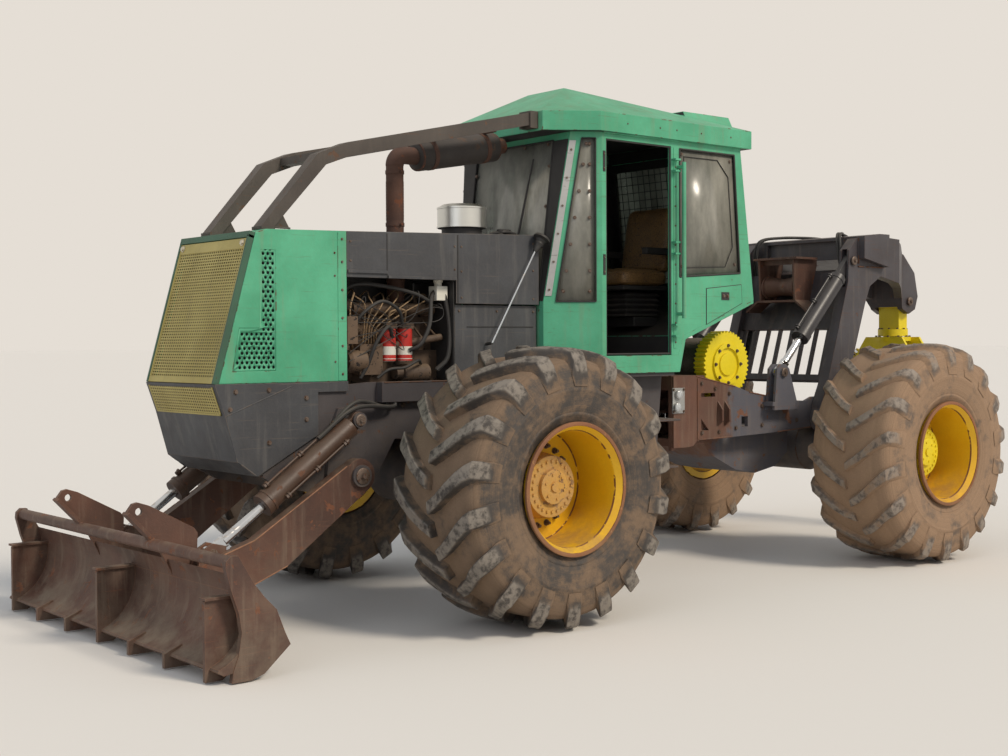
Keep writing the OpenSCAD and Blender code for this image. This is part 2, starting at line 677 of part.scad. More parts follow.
module console() {
  color("#2c2d2f") {
    block([fx(-1120), -200, cab_bottom_z + 24.3], [fx(-960), 200, 2060]);
    bar([fx(-1100), 0, 2040], [fx(-1200), 0, 2240], 22, 24);
    translate([fx(-1204), 0, 2250]) rotate([0, -27, 0]) rotate_extrude($fn = 48)
      translate([170, 0]) circle(r = 14, $fn = 16);
    translate([fx(-1204), 0, 2250]) rotate([0, -27, 0]) {
      for (a = [0, 120, 240]) rotate([0, 0, a]) rotate([0, 90, 0]) cylinder(h = 166, r = 9, $fn = 16);
      translate([0, 0, -20]) cylinder(h = 30, r = 34, $fn = 24);
    }
  }
}

module steps() {
  color("#34373c") {
    both_sides() {
      plate_y(520, 530, [[fx(-1250), frame_top_z - 1 - seat_gap],
        [fx(-1680), frame_top_z - 1 - seat_gap], [fx(-1620), 760], [fx(-1330), 760]]);
      block([fx(-1600), 529, 770], [fx(-1350), 760, 785]);
      block([fx(-1620), 529, 1080], [fx(-1330), 760, 1095]);
    }
  }
}

module grab_rail() {
  color("#4f9d7a") both_sides() {
    bar([fx(-1700), cab_half + 60, 1760], [fx(-1700), cab_half + 60, 2800], 14, 24);
    for (z = [1790, 2770])
      bar([fx(-1700), cab_half + seat_gap, z], [fx(-1700), cab_half + 66, z], 12, 24);
  }
}

// Right door: frame, kick panel and mesh guard, hinged at the rear post
door_hinge_x = -1652;
door_hinge_out = 26;
door_pin_r = 7;
knuckle_r = 16;
knuckle_h = 60;
hinge_z = [1680, 2230, 2780];
module door() {
  x0 = fx(door_rear) + 8;
  x1 = fx(door_front) - 36 - 8;
  z0 = sill_z + 8;
  z1 = fascia_z - 48;
  y0 = -cab_half + 2;
  color("#5cb98f") for (z = hinge_z) difference() {
    union() {
      translate([fx(door_hinge_x), -cab_half - door_hinge_out, z - knuckle_h / 2 + run_gap])
        cylinder(h = knuckle_h - run_gap * 2, r = knuckle_r, $fn = 40);
      block([fx(door_hinge_x), -cab_half - door_hinge_out + 4, z - 24],
        [fx(door_hinge_x) + 100, -cab_half - 8, z + 24]);
      block([x0, -cab_half - 12, z - 24], [fx(door_hinge_x) + 100, y0 + 1, z + 24]);
    }
    translate([fx(door_hinge_x), -cab_half - door_hinge_out, z - knuckle_h])
      cylinder(h = knuckle_h * 2, r = door_pin_r + run_gap, $fn = 32);
  }
  color("#5cb98f") difference() {
    block([x0, y0, z0], [x1, y0 + cab_t - 4, z1]);
    for (j = [0:5], i = [0:4])
      translate([x0 + 60 + i * 96, y0 - 5, 2010 + j * 140]) cube([76, cab_t + 10, 120]);
  }
}

// Blade arms from their pivots to the back of the blade
module blade_arms() {
  y0 = arm_y - arm_w / 2;
  y1 = arm_y + arm_w / 2;
  color("#6b4a3c") both_sides() difference() {
    union() {
      plate_y(y0, y1, [[fx(arm_pivot_x) - 60, arm_pivot_z - 76],
        [fx(arm_pivot_x) - 30, arm_pivot_z + 88],
        [fx(arm_pivot_x) + 90, arm_pivot_z + 60], [fx(1500), 560], [fx(1780), 470],
        [fx(blade_back(410)) - seat_gap, 410], [fx(blade_back(215)) - seat_gap, 215],
        [fx(1800), 190], [fx(1560), 300], [fx(1300), 400]]);
      bar_y(fx(arm_pivot_x), arm_pivot_z, y0, y1, 96);
      // Lug plates of the rods' eyes, stood in from the arm
      for (y = [cyl_y - eye_w / 2 - side_gap - 18, cyl_y + eye_w / 2 + side_gap])
        plate_y(y, y + 18, [[fx(1640), 360], [fx(1650), 540], [fx(1727), 560], [fx(1800), 520],
          [fx(1830), 360]]);
      plate_y(cyl_y - eye_w / 2 - side_gap - 17, y1 - 2, [[fx(1600), 330], [fx(1620), 380],
        [fx(1840), 380], [fx(1835), 250], [fx(1790), 220]]);
      // Pin heads
      bar_y(fx(blade_cyl_eye[0]), blade_cyl_eye[1], cyl_y - eye_w / 2 - side_gap - 30,
        cyl_y - eye_w / 2 - side_gap - 17, 34);
    }
    bar_y(fx(arm_pivot_x), arm_pivot_z, y0 - 5, y1 + 5, 36 + run_gap);
    // Slot for the rod's eye
    bar_y(fx(blade_cyl_eye[0]), blade_cyl_eye[1], cyl_y - eye_w / 2 - side_gap,
      cyl_y + eye_w / 2 + side_gap, 118);
  }
}

// Dozer blade: curved mouldboard, end plates, ribs, horns and the teeth below the edge
edge_x = 2110;
back_top = [1880, 420];
back_low = [1870, 200];
horn_hole = [2096, 748];
horn_y = 432;
// Back face of the blade at a height
function blade_back(z) = back_low[0]
  + (back_top[0] - back_low[0]) * (z - back_low[1]) / (back_top[1] - back_low[1]);
module blade() {
  z0 = blade_clear;
  color("#6b4a3c") {
    difference() {
      plate_y(-blade_half, blade_half, [[fx(2040), blade_top], [fx(2010), blade_top],
        [fx(back_top[0]), back_top[1]], [fx(back_low[0]), back_low[1]], [fx(1940), 70],
        [fx(edge_x) - 30, z0 + 40], [fx(edge_x), z0 + 60], [fx(edge_x) - 10, z0 + 80]]);
      // Hollow of the mouldboard
      bar_y(fx(2210), 360, -blade_half - 5, blade_half + 5, 300);
    }
    bar_y(fx(2025), blade_top, -blade_half, blade_half, 32);
    // End plates with a hollow front edge
    both_sides() plate_y(blade_half - 26, blade_half + 6, [[fx(2068), blade_top - 20],
      [fx(2064), blade_top + 14], [fx(2040), blade_top + 36], [fx(2002), blade_top + 34],
      [fx(1920), 470], [fx(1860), 396], [fx(1795), 330], [fx(1750), 215], [fx(1720), 152],
      [fx(1865), 30], [fx(1935), z0], [fx(2040), z0], [fx(2032), 64], [fx(2004), 133],
      [fx(1986), 240], [fx(2000), 333], [fx(2040), 446]]);
    // Ribs in front of the mouldboard, each with a cap
    for (y = [-1200, 0, 1200]) {
      plate_y(y - 12, y + 12, [[fx(1898), 400], [fx(1888), 250], [fx(1950), 72],
        [fx(edge_x) - 70, z0], [fx(edge_x) + 20, z0], [fx(edge_x) + 20, 390], [fx(edge_x) + 10, 400]]);
      block([fx(1905), y - 32, 398], [fx(edge_x) + 26, y + 32, 410]);
    }
    // Teeth under the edge
    for (y = [-800, -400, 400, 800]) plate_y(y - 12, y + 12, [[fx(edge_x) + 30, z0],
      [fx(edge_x) + 30, z0 + 72], [fx(edge_x) - 60, z0 + 110], [fx(edge_x) - 150, z0 + 62],
      [fx(edge_x) - 120, z0]]);
    // Horn plates with a pin hole and a front flange each
    both_sides() difference() {
      union() {
        plate_y(horn_y, horn_y + horn_t, [[fx(1775), 400], [fx(1765), 612], [fx(1785), 640],
          [fx(2040), 776], [fx(2100), 796], [fx(2130), 790], [fx(2166), 744], [fx(1985), 550],
          [fx(1930), 440], [fx(1880), 330]]);
        plate_y(horn_y + horn_t / 2 - 35, horn_y + horn_t / 2 + 35, [[fx(1980), 540],
          [fx(2170), 738], [fx(2158), 750], [fx(1968), 552]]);
      }
      bar_y(fx(horn_hole[0]), horn_hole[1], horn_y - 60, horn_y + 90, horn_hole_r);
    }
  }
}

// Blade cylinders, left and right together
blade_cyl_len = norm([blade_cyl_eye[0] - blade_cyl_top[0], blade_cyl_eye[1] - blade_cyl_top[1]]);
blade_cyl_lean = atan2(blade_cyl_top[1] - blade_cyl_eye[1], blade_cyl_eye[0] - blade_cyl_top[0]);
module blade_cyl_place() {
  both_sides() translate([fx(blade_cyl_top[0]), cyl_y, blade_cyl_top[1]]) rotate([0, blade_cyl_lean, 0])
    children();
}
// Barrel along +X with its base eye, a shank of the eye's width up to neck, bored for the rod
module barrel(length, r, rod, neck) {
  difference() {
    union() {
      bar_y(0, 0, -eye_w / 2, eye_w / 2, 48);
      translate([0, -eye_w / 2, -40]) cube([neck + 10, eye_w, 80]);
      translate([neck, 0, 0]) rotate([0, 90, 0]) cylinder(h = length - neck, r = r, $fn = 56);
      translate([length - 60, 0, 0]) rotate([0, 90, 0]) cylinder(h = 60, r = r + 6, $fn = 56);
    }
    bar_y(0, 0, -eye_w, eye_w, cyl_pin_r + run_gap);
    translate([neck + 60, 0, 0]) rotate([0, 90, 0]) cylinder(h = length, r = rod + run_gap, $fn = 48);
  }
}
// Rod along +X ending in its eye at reach, with a flat shank between the lug plates
module rod(start, reach, r) {
  difference() {
    union() {
      translate([start, 0, 0]) rotate([0, 90, 0]) cylinder(h = reach - start - 100, r = r, $fn = 48);
      translate([reach - 110, -eye_w / 2, -30]) cube([90, eye_w, 60]);
      bar_y(reach, 0, -eye_w / 2, eye_w / 2, 46);
    }
    bar_y(reach, 0, -eye_w, eye_w, cyl_pin_r);
  }
}
module blade_barrels() {
  color("#5d4033") blade_cyl_place() barrel(760, barrel_r, rod_r, 60);
}
module blade_rods() {
  color("#c9ccd0") blade_cyl_place() rod(400, blade_cyl_len, rod_r);
}

// Rear frame: fork round the tongue, tapering side plates, belly and lug cradles
arch_pivot = [170, 1020];
arch_rod_eye = [690, 1375];
arch_cyl_top = [-150, 2220];
// Side plates start this far behind the articulation pins, clear of the steering barrels at full lock
rear_front_gap = 42;
module rear_frame() {
  inner = rear_half - plate_t;
  front = pin_x - rear_front_gap;
  color("#6a4335") {
    both_sides() difference() {
      plate_y(inner, rear_half, [[front, 850], [front, 1372], [rx(1530), 1365], [rx(1110), 1281],
        [rx(960), 1236], [rx(490), 1160], [rx(310), 1150], [rx(220), 1180], [rx(80), 1180],
        [rx(-200), 1130], [rx(-200), 960], [rx(240), 950], [rx(640), 930], [rx(1160), 916],
        [rx(1510), 912], [rx(1560), 872]]);
      // Slots and a three-cornered hole through the plate
      block([rx(1330), inner - 5, 1212], [rx(1475), rear_half + 5, 1240]);
      plate_y(inner - 5, rear_half + 5, [[rx(1395), 976], [rx(1475), 976], [rx(1475), 1060]]);
      block([rx(975), inner - 5, 985], [rx(1045), rear_half + 5, 1060]);
    }
    // Front posts
    both_sides() block([pin_x - 200, rear_half - 1, 868], [front - 4, rear_half + 16, 1365]);
    // Brackets on the side plates
    both_sides() for (x = [1215, 1290])
      plate_x(rx(x), rx(x) + 14, [[rear_half - 1, 1000], [rear_half + 46, 1040],
        [rear_half + 46, 1120], [rear_half - 1, 1180]]);
    // Fork plates over and under the tongue, with the two pins
    for (z = [[tongue_top[1] + 8, 1365], [880, tongue_low[0] - 8]]) {
      plate_z(z[0], z[1], [[pin_x, 150], [front, inner + 1], [rx(1410), inner + 1],
        [rx(1410), -inner - 1], [front, -inner - 1], [pin_x, -150]]);
      translate([pin_x, 0, z[0]]) cylinder(h = z[1] - z[0], r = 150, $fn = 64);
    }
    translate([pin_x, 0, tongue_top[0] - 10]) cylinder(h = 150, r = hinge_pin_r, $fn = 64);
    translate([pin_x, 0, 890]) cylinder(h = 150, r = hinge_pin_r, $fn = 64);
    block([rx(1410), -inner - 1, 885], [rx(1450), inner + 1, 1360]);
  }
  // Lamp plates on the posts, with two lamps each
  color("#b9bcbc") both_sides() {
    block([pin_x - 150, rear_half + 15, 1108], [pin_x - 30, rear_half + 23, 1284]);
    for (z = [1152, 1240]) bar_y(pin_x - 66 - (z - 1152) * 0.16, z, rear_half + 22, rear_half + 42, 33);
  }
  color("#34373c") {
    block([rx(340), -inner - 1, 940], [rx(400), inner + 1, 1150]);
    block([rx(-200), -inner - 1, 965], [rx(-150), inner + 1, 1125]);
    block([rx(880), -inner - 1, 1150], [rx(1490), inner + 1, 1190]);
    // Belly pan down to the axle's height
    plate_y(-300, 300, [[rx(1360), 960], [rx(1220), 790], [rx(940), 660], [rx(720), 620],
      [rx(480), 660], [rx(340), 760], [rx(340), 960]]);
    // Axle seats
    both_sides() block([rx(-180), 230, axle_z + axle_bowl_r + seat_gap], [rx(180), inner + 1, 1030]);
    // Shelf and lug cradles of the arch cylinders
    both_sides() {
      block([rx(510), inner, 1130], [rx(810), arch_arm_y + eye_w / 2 + side_gap + 20, 1160]);
      for (y = [arch_arm_y - eye_w / 2 - side_gap - 20, arch_arm_y + eye_w / 2 + side_gap])
        plate_y(y, y + 20, [[rx(790), 1100], [rx(760), 1400], [rx(720), 1435], [rx(660), 1435],
          [rx(620), 1400], [rx(510), 1100]]);
      bar_y(rx(arch_rod_eye[0]), arch_rod_eye[1], arch_arm_y + eye_w / 2 + side_gap + 19,
        arch_arm_y + eye_w / 2 + side_gap + 32, 34);
      // Arch pivot pins with their heads
      bar_y(rx(arch_pivot[0]), arch_pivot[1], inner + 2, arch_arm_y + arch_arm_w / 2 + 24, 40);
      bar_y(rx(arch_pivot[0]), arch_pivot[1], arch_arm_y + arch_arm_w / 2 + 8,
        arch_arm_y + arch_arm_w / 2 + 24, 66);
    }
    // Lug plates of the steering rods' eyes
    both_sides() for (z = steer_lug_z)
      plate_z(z, z + 16, [[rx(1448), steer_eye[1] + 90], [rx(1448), steer_eye[1] - 90],
        [rx(steer_eye[0]) + 34, steer_eye[1] - 40], [rx(steer_eye[0]) + 34, steer_eye[1] + 40]]);
  }
}

module rear_axle() {
  color("#2e3033") axle(rear_axle_x);
}

winch_x = 1150;
winch_z = 1440;
// Teeth round a disc, and a tooth as [share of its step, height]
disc_teeth = 44;
disc_tooth = [[0, -14], [0.2, 0], [0.5, 0], [0.7, -14]];
function winch_point(a, r) = [r * cos(a), r * sin(a)];
module winch() {
  color("#f2da00") {
    bar_y(rx(winch_x), winch_z, -301, 301, winch_r - 60);
    // Toothed discs with a raised ring
    for (y = [-400, 300]) translate([rx(winch_x), y + 100, winch_z]) rotate([90, 0, 0])
      linear_extrude(100) polygon([for (i = [0:disc_teeth - 1], c = disc_tooth)
        winch_point((i + c[0]) * 360 / disc_teeth, winch_r + c[1])]);
    both_sides() difference() {
      bar_y(rx(winch_x), winch_z, 399, 416, 150);
      bar_y(rx(winch_x), winch_z, 398, 420, 118);
    }
    both_sides() bar_y(rx(winch_x), winch_z, 399, 412, 80);
    // Feet on the deck plate
    both_sides() block([rx(winch_x) - 170, 310, 1190 + seat_gap], [rx(winch_x) + 170, 390, winch_z]);
  }
}

// Arch: two arms, cross beam and the gooseneck to the boom tip
tip_x = -1460;
neck_half = 160;
module arch() {
  y0 = arch_arm_y - arch_arm_w / 2;
  y1 = arch_arm_y + arch_arm_w / 2;
  color("#2e3036") difference() {
    union() {
      both_sides() plate_y(y0, y1, [[rx(240), 980], [rx(240), 1130],
        [rx(arch_foot[0]), arch_foot[1]], [rx(arch_knee[0]), arch_knee[1]], [rx(-100), 2300],
        [rx(-200), 2396], [rx(-410), arch_top_z - 8], [rx(-760), arch_top_z - 26],
        [rx(-760), 2060], [rx(-510), 2110], [rx(-370), 2030], [rx(-310), 1900], [rx(0), 1050],
        [rx(80), 950]]);
      both_sides() bar_y(rx(arch_pivot[0]), arch_pivot[1], y0, y1, 100);
      plate_y(-y1 - 60, y1 + 60, [[rx(-216), 2240], [rx(-216), 2412], [rx(-410), arch_top_z],
        [rx(-540), arch_top_z], [rx(-540), 2180]]);
      // Gooseneck: its side view cut by its plan
      intersection() {
        plate_y(-y1, y1, [[rx(-750), arch_top_z - 36], [rx(-1120), 2396], [rx(-1380), 2330],
          [rx(-1540), 2180], [rx(-1590), 1980], [rx(-1550), 1870], [rx(-1460), 1830],
          [rx(-1370), 1870], [rx(-1320), 1960], [rx(-1160), 2040], [rx(-750), 2070]]);
        plate_z(1700, 2500, [[rx(-750), y1 - 2], [rx(-1360), neck_half], [rx(-1660), neck_half],
          [rx(-1660), -neck_half], [rx(-1360), -neck_half], [rx(-750), 2 - y1]]);
      }
    }
    // Opening inside the neck between its side plates
    plate_z(1700, 2380, [[rx(-730), y0 - 3], [rx(-1320), neck_half - 50], [rx(-1320), -neck_half + 50],
      [rx(-730), 3 - y0]]);
    // Recess in the cross beam's front face
    block([rx(-250), -350, 2268], [rx(-200), 350, 2388]);
    // Clevis slot at the tip
    block([rx(-1760), -neck_half + 50, 1700], [rx(-1360), neck_half - 50, 2140]);
    // Slots for the cylinder barrels' eyes
    both_sides() block([rx(arch_cyl_top[0]) - 90, arch_arm_y - eye_w / 2 - side_gap, 2020],
      [rx(arch_cyl_top[0]) + 140, arch_arm_y + eye_w / 2 + side_gap, 2310]);
    both_sides() bar_y(rx(arch_pivot[0]), arch_pivot[1], y0 - 5, y1 + 5, 40 + run_gap);
  }
  color("#2e3036") both_sides() bar_y(rx(arch_cyl_top[0]), arch_cyl_top[1], y0 + 5, y1 + 12, cyl_pin_r);
  color("#2e3036") bar_y(rx(tip_x), tip_z, -neck_half - 12, neck_half + 12, 34);
}

screen_foot = [100, 1290];
screen_t = 28;
arch_foot = [160, 1290];
arch_knee = [-90, 2060];
arch_lean = atan2(arch_foot[0] - arch_knee[0], arch_knee[1] - arch_foot[1]);
module arch_screen() {
  y1 = arch_arm_y - arch_arm_w / 2 - seat_gap;
  color("#2b2c30") translate([rx(screen_foot[0]), 0, screen_foot[1]]) rotate([0, -arch_lean, 0]) {
    translate([-30, -y1, 0]) cube([60, y1 * 2, 50]);
    translate([-screen_t / 2, -y1, 420]) cube([screen_t, y1 * 2, 470]);
    for (i = [0:7]) translate([-10, -y1 + 24 + i * (y1 * 2 - 80) / 7, 49]) cube([20, 32, 372]);
  }
}

fairlead_x = -10;
fairlead_z = 2030;
// Front face of the screen at a height
function screen_face(z) = screen_foot[0]
  + (screen_t / 2 - (z - screen_foot[1]) * sin(arch_lean)) / cos(arch_lean);
module fairlead() {
  top = fairlead_z + 215;
  low = fairlead_z - 104;
  color("#4a3a33") {
    both_sides() plate_y(160, 178, [[rx(fairlead_x) + 100, low - 6], [rx(fairlead_x) + 120, top],
      [rx(screen_face(fairlead_z + 170)) + seat_gap, top],
      [rx(screen_face(fairlead_z + 170)) + seat_gap, fairlead_z + 170],
      [rx(screen_face(low - 6)) + seat_gap, low - 6]]);
    block([rx(fairlead_x) - 130, -215, top - 1], [rx(fairlead_x) + 135, 215, top + 15]);
    block([rx(fairlead_x) + 60, -177, top - 40], [rx(fairlead_x) + 76, 177, top]);
    // Lower plate, its ends flared downwards
    plate_x(rx(screen_face(low - 96)) + seat_gap, rx(fairlead_x) + 120, [[-190, low], [190, low],
      [305, low - 84], [295, low - 96], [184, low - 16], [-184, low - 16], [-295, low - 96],
      [-305, low - 84]]);
  }
}
// Roller, thinner in the middle
module fairlead_roller() {
  color("#7a5240") translate([rx(fairlead_x) + 10, 0, fairlead_z]) rotate([90, 0, 0]) {
    rotate_extrude($fn = 64) polygon([[0, -155], [roller_r + 12, -155], [roller_r + 12, -140],
      [roller_r, -138], [roller_r - 16, -60], [roller_r - 22, 0], [roller_r - 16, 60],
      [roller_r, 138], [roller_r + 12, 140], [roller_r + 12, 155], [0, 155]]);
    translate([0, 0, -159.7]) cylinder(h = 319.4, r = 24, $fn = 48);
  }
}

arch_cyl_len = norm([arch_rod_eye[0] - arch_cyl_top[0], arch_rod_eye[1] - arch_cyl_top[1]]);
arch_cyl_lean = atan2(arch_cyl_top[1] - arch_rod_eye[1], arch_rod_eye[0] - arch_cyl_top[0]);
module arch_cyl_place() {
  both_sides() translate([rx(arch_cyl_top[0]), arch_arm_y, arch_cyl_top[1]])
    rotate([0, arch_cyl_lean, 0]) children();
}
module arch_barrels() {
  color("#2a2a2c") arch_cyl_place() barrel(840, barrel_r, rod_r, 180);
}
module arch_rods() {
  color("#c9ccd0") arch_cyl_place() rod(400, arch_cyl_len, rod_r);
}

// Grapple: link, head under its rotator, two tongs and the cylinder between them
head_z = 1640;
tong_pivot = [300, 1330];
tong_ear = [120, 160];
tong_pin_r = 24;
// Places on X from the middle: cylinder eyes, right tong's plates, left tong's plates, head's plates
plate_gap = 7;
tong_in = [48, 48 + tong_t];
tong_out = [tong_in[1] + plate_gap, tong_in[1] + plate_gap + tong_t];
head_plate = [tong_out[1] + plate_gap, tong_out[1] + plate_gap + tong_t];

module grapple_link() {
  color("#e0c21a") difference() {
    union() {
      bar_y(rx(tip_x), tip_z, -neck_half + 50 + side_gap, neck_half - 50 - side_gap, 80);
      block([rx(tip_x) - 60, -100, head_z + 40], [rx(tip_x) + 60, 100, tip_z - 20]);
      translate([rx(tip_x), 0, head_z]) cylinder(h = 60, r = 125, $fn = 56);
    }
    bar_y(rx(tip_x), tip_z, -neck_half, neck_half, 34 + run_gap);
  }
}
module grapple_head() {
  top = head_z - side_gap;
  color("#e0c21a") {
    translate([rx(tip_x), 0, top - 36]) cylinder(h = 36, r = 150, $fn = 56);
    translate([rx(tip_x), 0, top - 1]) cylinder(h = side_gap + 1 - run_gap, r = 80, $fn = 48);
    for (side = [-1, 1]) {
      x = side > 0 ? head_plate[0] : -head_plate[1];
      plate_x(rx(tip_x) + x, rx(tip_x) + x + head_plate[1] - head_plate[0], [
        [-tong_pivot[0] - 60, 1330], [-tong_pivot[0] - 40, 1390], [-180, top - 1], [180, top - 1],
        [tong_pivot[0] + 40, 1390], [tong_pivot[0] + 60, 1330], [tong_pivot[0] + 20, 1275],
        [120, 1400], [-120, 1400], [-tong_pivot[0] - 20, 1275]]);
    }
    both_sides() translate([rx(tip_x) - head_plate[1], tong_pivot[0], tong_pivot[1]]) rotate([0, 90, 0])
      cylinder(h = head_plate[1] * 2, r = 30, $fn = 40);
  }
}
// Tong about its pivot: a pair of curved plates, outline as [y, z], with a cross tube
module tong(span) {
  difference() {
    union() {
      for (side = [-1, 1]) {
        x = side > 0 ? span[0] : -span[1];
        plate_x(x, x + span[1] - span[0], [[-50, -50], [-52, 30], [tong_ear[0] - 60, tong_ear[1] + 20],
          [tong_ear[0] - 10, tong_ear[1] + 46], [tong_ear[0] + 40, tong_ear[1] + 20],
          [tong_ear[0] + 30, 60], [160, -120], [220, -300], [210, -500], [110, -700], [-70, -830],
          [-320, -880], [-330, -850], [-120, -760], [40, -600], [110, -440], [115, -300], [50, -130]]);
      }
      for (c = [[165, -300], [150, -560]]) translate([-span[1] + 2, c[0], c[1]]) rotate([0, 90, 0])
        cylinder(h = (span[1] - 2) * 2, r = 36, $fn = 32);
    }
    translate([-span[1] - 5, 0, 0]) rotate([0, 90, 0])
      cylinder(h = span[1] * 2 + 10, r = 30 + run_gap, $fn = 40);
  }
}
module tong_left() {
  color("#c7ad1c") translate([rx(tip_x), tong_pivot[0], tong_pivot[1]]) {
    tong(tong_out);
    translate([-tong_out[1] + 1, tong_ear[0], tong_ear[1]]) rotate([0, 90, 0])
      cylinder(h = tong_out[1] * 2 - 2, r = tong_pin_r, $fn = 32);
  }
}
module tong_right() {
  color("#c7ad1c") mirror([0, 1, 0]) translate([rx(tip_x), tong_pivot[0], tong_pivot[1]]) tong(tong_in);
}
// Cylinder from the left tong's ear to the right tong's, drawn along -Y
grip_len = 2 * (tong_pivot[0] + tong_ear[0]);
module grip_place() {
  translate([rx(tip_x), tong_pivot[0] + tong_ear[0], tong_pivot[1] + tong_ear[1]])
    rotate([0, 0, -90]) children();
}
module grip_barrel() {
  color("#2a2a2c") grip_place() difference() {
    union() {
      bar_y(0, 0, -20, 20, 42);
      translate([30, 0, 0]) rotate([0, 90, 0]) cylinder(h = 430, r = 40, $fn = 48);
    }
    bar_y(0, 0, -30, 30, tong_pin_r + run_gap);
    for (side = [-1, 1]) translate([-60, side * 45 - 25, -60]) cube([105, 50, 120]);
    translate([80, 0, 0]) rotate([0, 90, 0]) cylinder(h = 400, r = 20 + run_gap, $fn = 40);
  }
}
module grip_rod() {
  color("#c9ccd0") grip_place() difference() {
    union() {
      translate([390, 0, 0]) rotate([0, 90, 0]) cylinder(h = grip_len - 390 - 30, r = 20, $fn = 40);
      bar_y(grip_len, 0, -20, 20, 42);
    }
    bar_y(grip_len, 0, -30, 30, tong_pin_r);
  }
}

front_frame();
front_axle();
nose_plates();
grille_shell();
side_vents();
grille();
hood();
engine();
engine_dress();
pre_cleaner();
exhaust();
canopy_bars();
cab_floor();
cab_frame();
cab_roof();
cab_windows();
seat();
console();
steps();
grab_rail();
door();
blade_arms();
blade();
blade_barrels();
blade_rods();
steer_barrel();  // steer_barrel_left
mirror([0, 1, 0]) steer_barrel();  // steer_barrel_right
steer_rod();  // steer_rod_left
mirror([0, 1, 0]) steer_rod();  // steer_rod_right
rear_frame();
rear_axle();
winch();
arch();
arch_screen();
fairlead();
fairlead_roller();
arch_barrels();
arch_rods();
grapple_link();
grapple_head();
tong_left();
tong_right();
grip_barrel();
grip_rod();
color("#3c3a38") wheel_place(front_axle_x, 1) tyre(front_lug_h);  // tyre_front_left
color("#3c3a38") wheel_place(front_axle_x, -1) tyre(front_lug_h);  // tyre_front_right
color("#8d6f55") wheel_place(rear_axle_x, 1) tyre(rear_lug_h);  // tyre_rear_left
color("#8d6f55") wheel_place(rear_axle_x, -1) tyre(rear_lug_h);  // tyre_rear_right
color("#e6b800") wheel_place(front_axle_x, 1) wheel();  // wheel_front_left
color("#e6b800") wheel_place(front_axle_x, -1) wheel();  // wheel_front_right
color("#e6b800") wheel_place(rear_axle_x, 1) wheel();  // wheel_rear_left
color("#e6b800") wheel_place(rear_axle_x, -1) wheel();  // wheel_rear_right
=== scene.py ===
import math
import random

import bpy
import bmesh
from mathutils import Matrix, Vector, noise


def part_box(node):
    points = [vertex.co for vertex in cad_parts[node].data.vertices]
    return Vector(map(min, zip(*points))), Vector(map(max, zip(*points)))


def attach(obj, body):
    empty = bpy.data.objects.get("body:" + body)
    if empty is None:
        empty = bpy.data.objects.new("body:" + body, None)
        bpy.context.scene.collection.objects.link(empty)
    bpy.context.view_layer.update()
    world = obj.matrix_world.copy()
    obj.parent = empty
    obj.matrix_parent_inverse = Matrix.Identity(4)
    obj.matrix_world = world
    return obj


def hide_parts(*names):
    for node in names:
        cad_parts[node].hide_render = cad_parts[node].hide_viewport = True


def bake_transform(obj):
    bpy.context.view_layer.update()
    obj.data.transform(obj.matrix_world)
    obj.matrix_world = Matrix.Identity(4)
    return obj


bl_info = {
    "name": "Grapple skidder dresser",
    "version": (1, 1, 0),
    "blender": (4, 5, 0),
    "location": "3D View > Sidebar > Skidder",
    "description": "Dresses the packed grapple skidder with its finishes, tyres, guards, hoses and fittings",
    "category": "Object",
}

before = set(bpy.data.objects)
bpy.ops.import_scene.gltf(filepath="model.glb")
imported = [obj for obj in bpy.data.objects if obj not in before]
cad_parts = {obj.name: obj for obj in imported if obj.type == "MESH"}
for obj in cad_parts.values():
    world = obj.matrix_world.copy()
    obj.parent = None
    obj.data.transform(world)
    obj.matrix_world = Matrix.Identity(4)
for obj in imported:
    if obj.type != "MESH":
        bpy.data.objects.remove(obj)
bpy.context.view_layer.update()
# Bodies that most pieces ride on
FRONT, REAR = "front_section", "rear_section"

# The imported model's own driving places, in metres
FRONT_AXLE_X = 1.540
WHEELBASE = 3.640
REAR_AXLE_X = FRONT_AXLE_X - WHEELBASE
TRACK_HALF = 1.150
# Distances from the middle to the sides, in millimetres: hood, cab, blade cylinders, arch cylinders, and the
# outer faces of the nose plates and of the front and rear frame's plates
HOOD = 400
CAB = 660
CYL = 510
ARCH = 500
NOSE_PLATE = 410
FRONT_PLATE = 390
REAR_PLATE = 450
SIDES = {"left": 1, "right": -1}


def at(d, y, z):
    """Place from a distance ahead of the front axle, a distance to the left and a height, in millimetres."""
    return Vector((FRONT_AXLE_X + d / 1000, y / 1000, z / 1000))


def tail(d, y, z):
    """The same, from a distance ahead of the rear axle."""
    return Vector((REAR_AXLE_X + d / 1000, y / 1000, z / 1000))


def linear(code, share=1.0):
    """Linear colour from an sRGB hex code, darkened to a share, as a tuple of four numbers."""
    parts = [int(code[i:i + 2], 16) / 255 for i in (1, 3, 5)]
    return tuple(share * (c / 12.92 if c <= 0.04045 else ((c + 0.055) / 1.055) ** 2.4)
                 for c in parts) + (1.0,)


# Middles, in metres: the muffler's two ends, the pre-cleaner's foot, the winch's drum and the grapple's turn
MUFFLER = at(58, 100, 2760.5), at(-560, 100, 2870)
PRE_CLEANER = at(-300, 100, 2330)
WINCH = tail(1150, 0, 1440)
GRAPPLE = tail(-1460, 0, 0)
MUFFLER_RADIUS = 0.0935
FILTER_RADIUS = 0.0465
# In millimetres: injectors and spin-on filters ahead of the front axle, and the height of the bay's upper lip
INJECTORS = [88 + 104 * i for i in range(6)]
FILTERS = (300, 420)
BAY_LIP = 1986


# Materials

# Settings that many shader nodes share
SMOOTH = {"interpolation_type": "SMOOTHSTEP"}
COLOURS = {"data_type": "RGBA"}


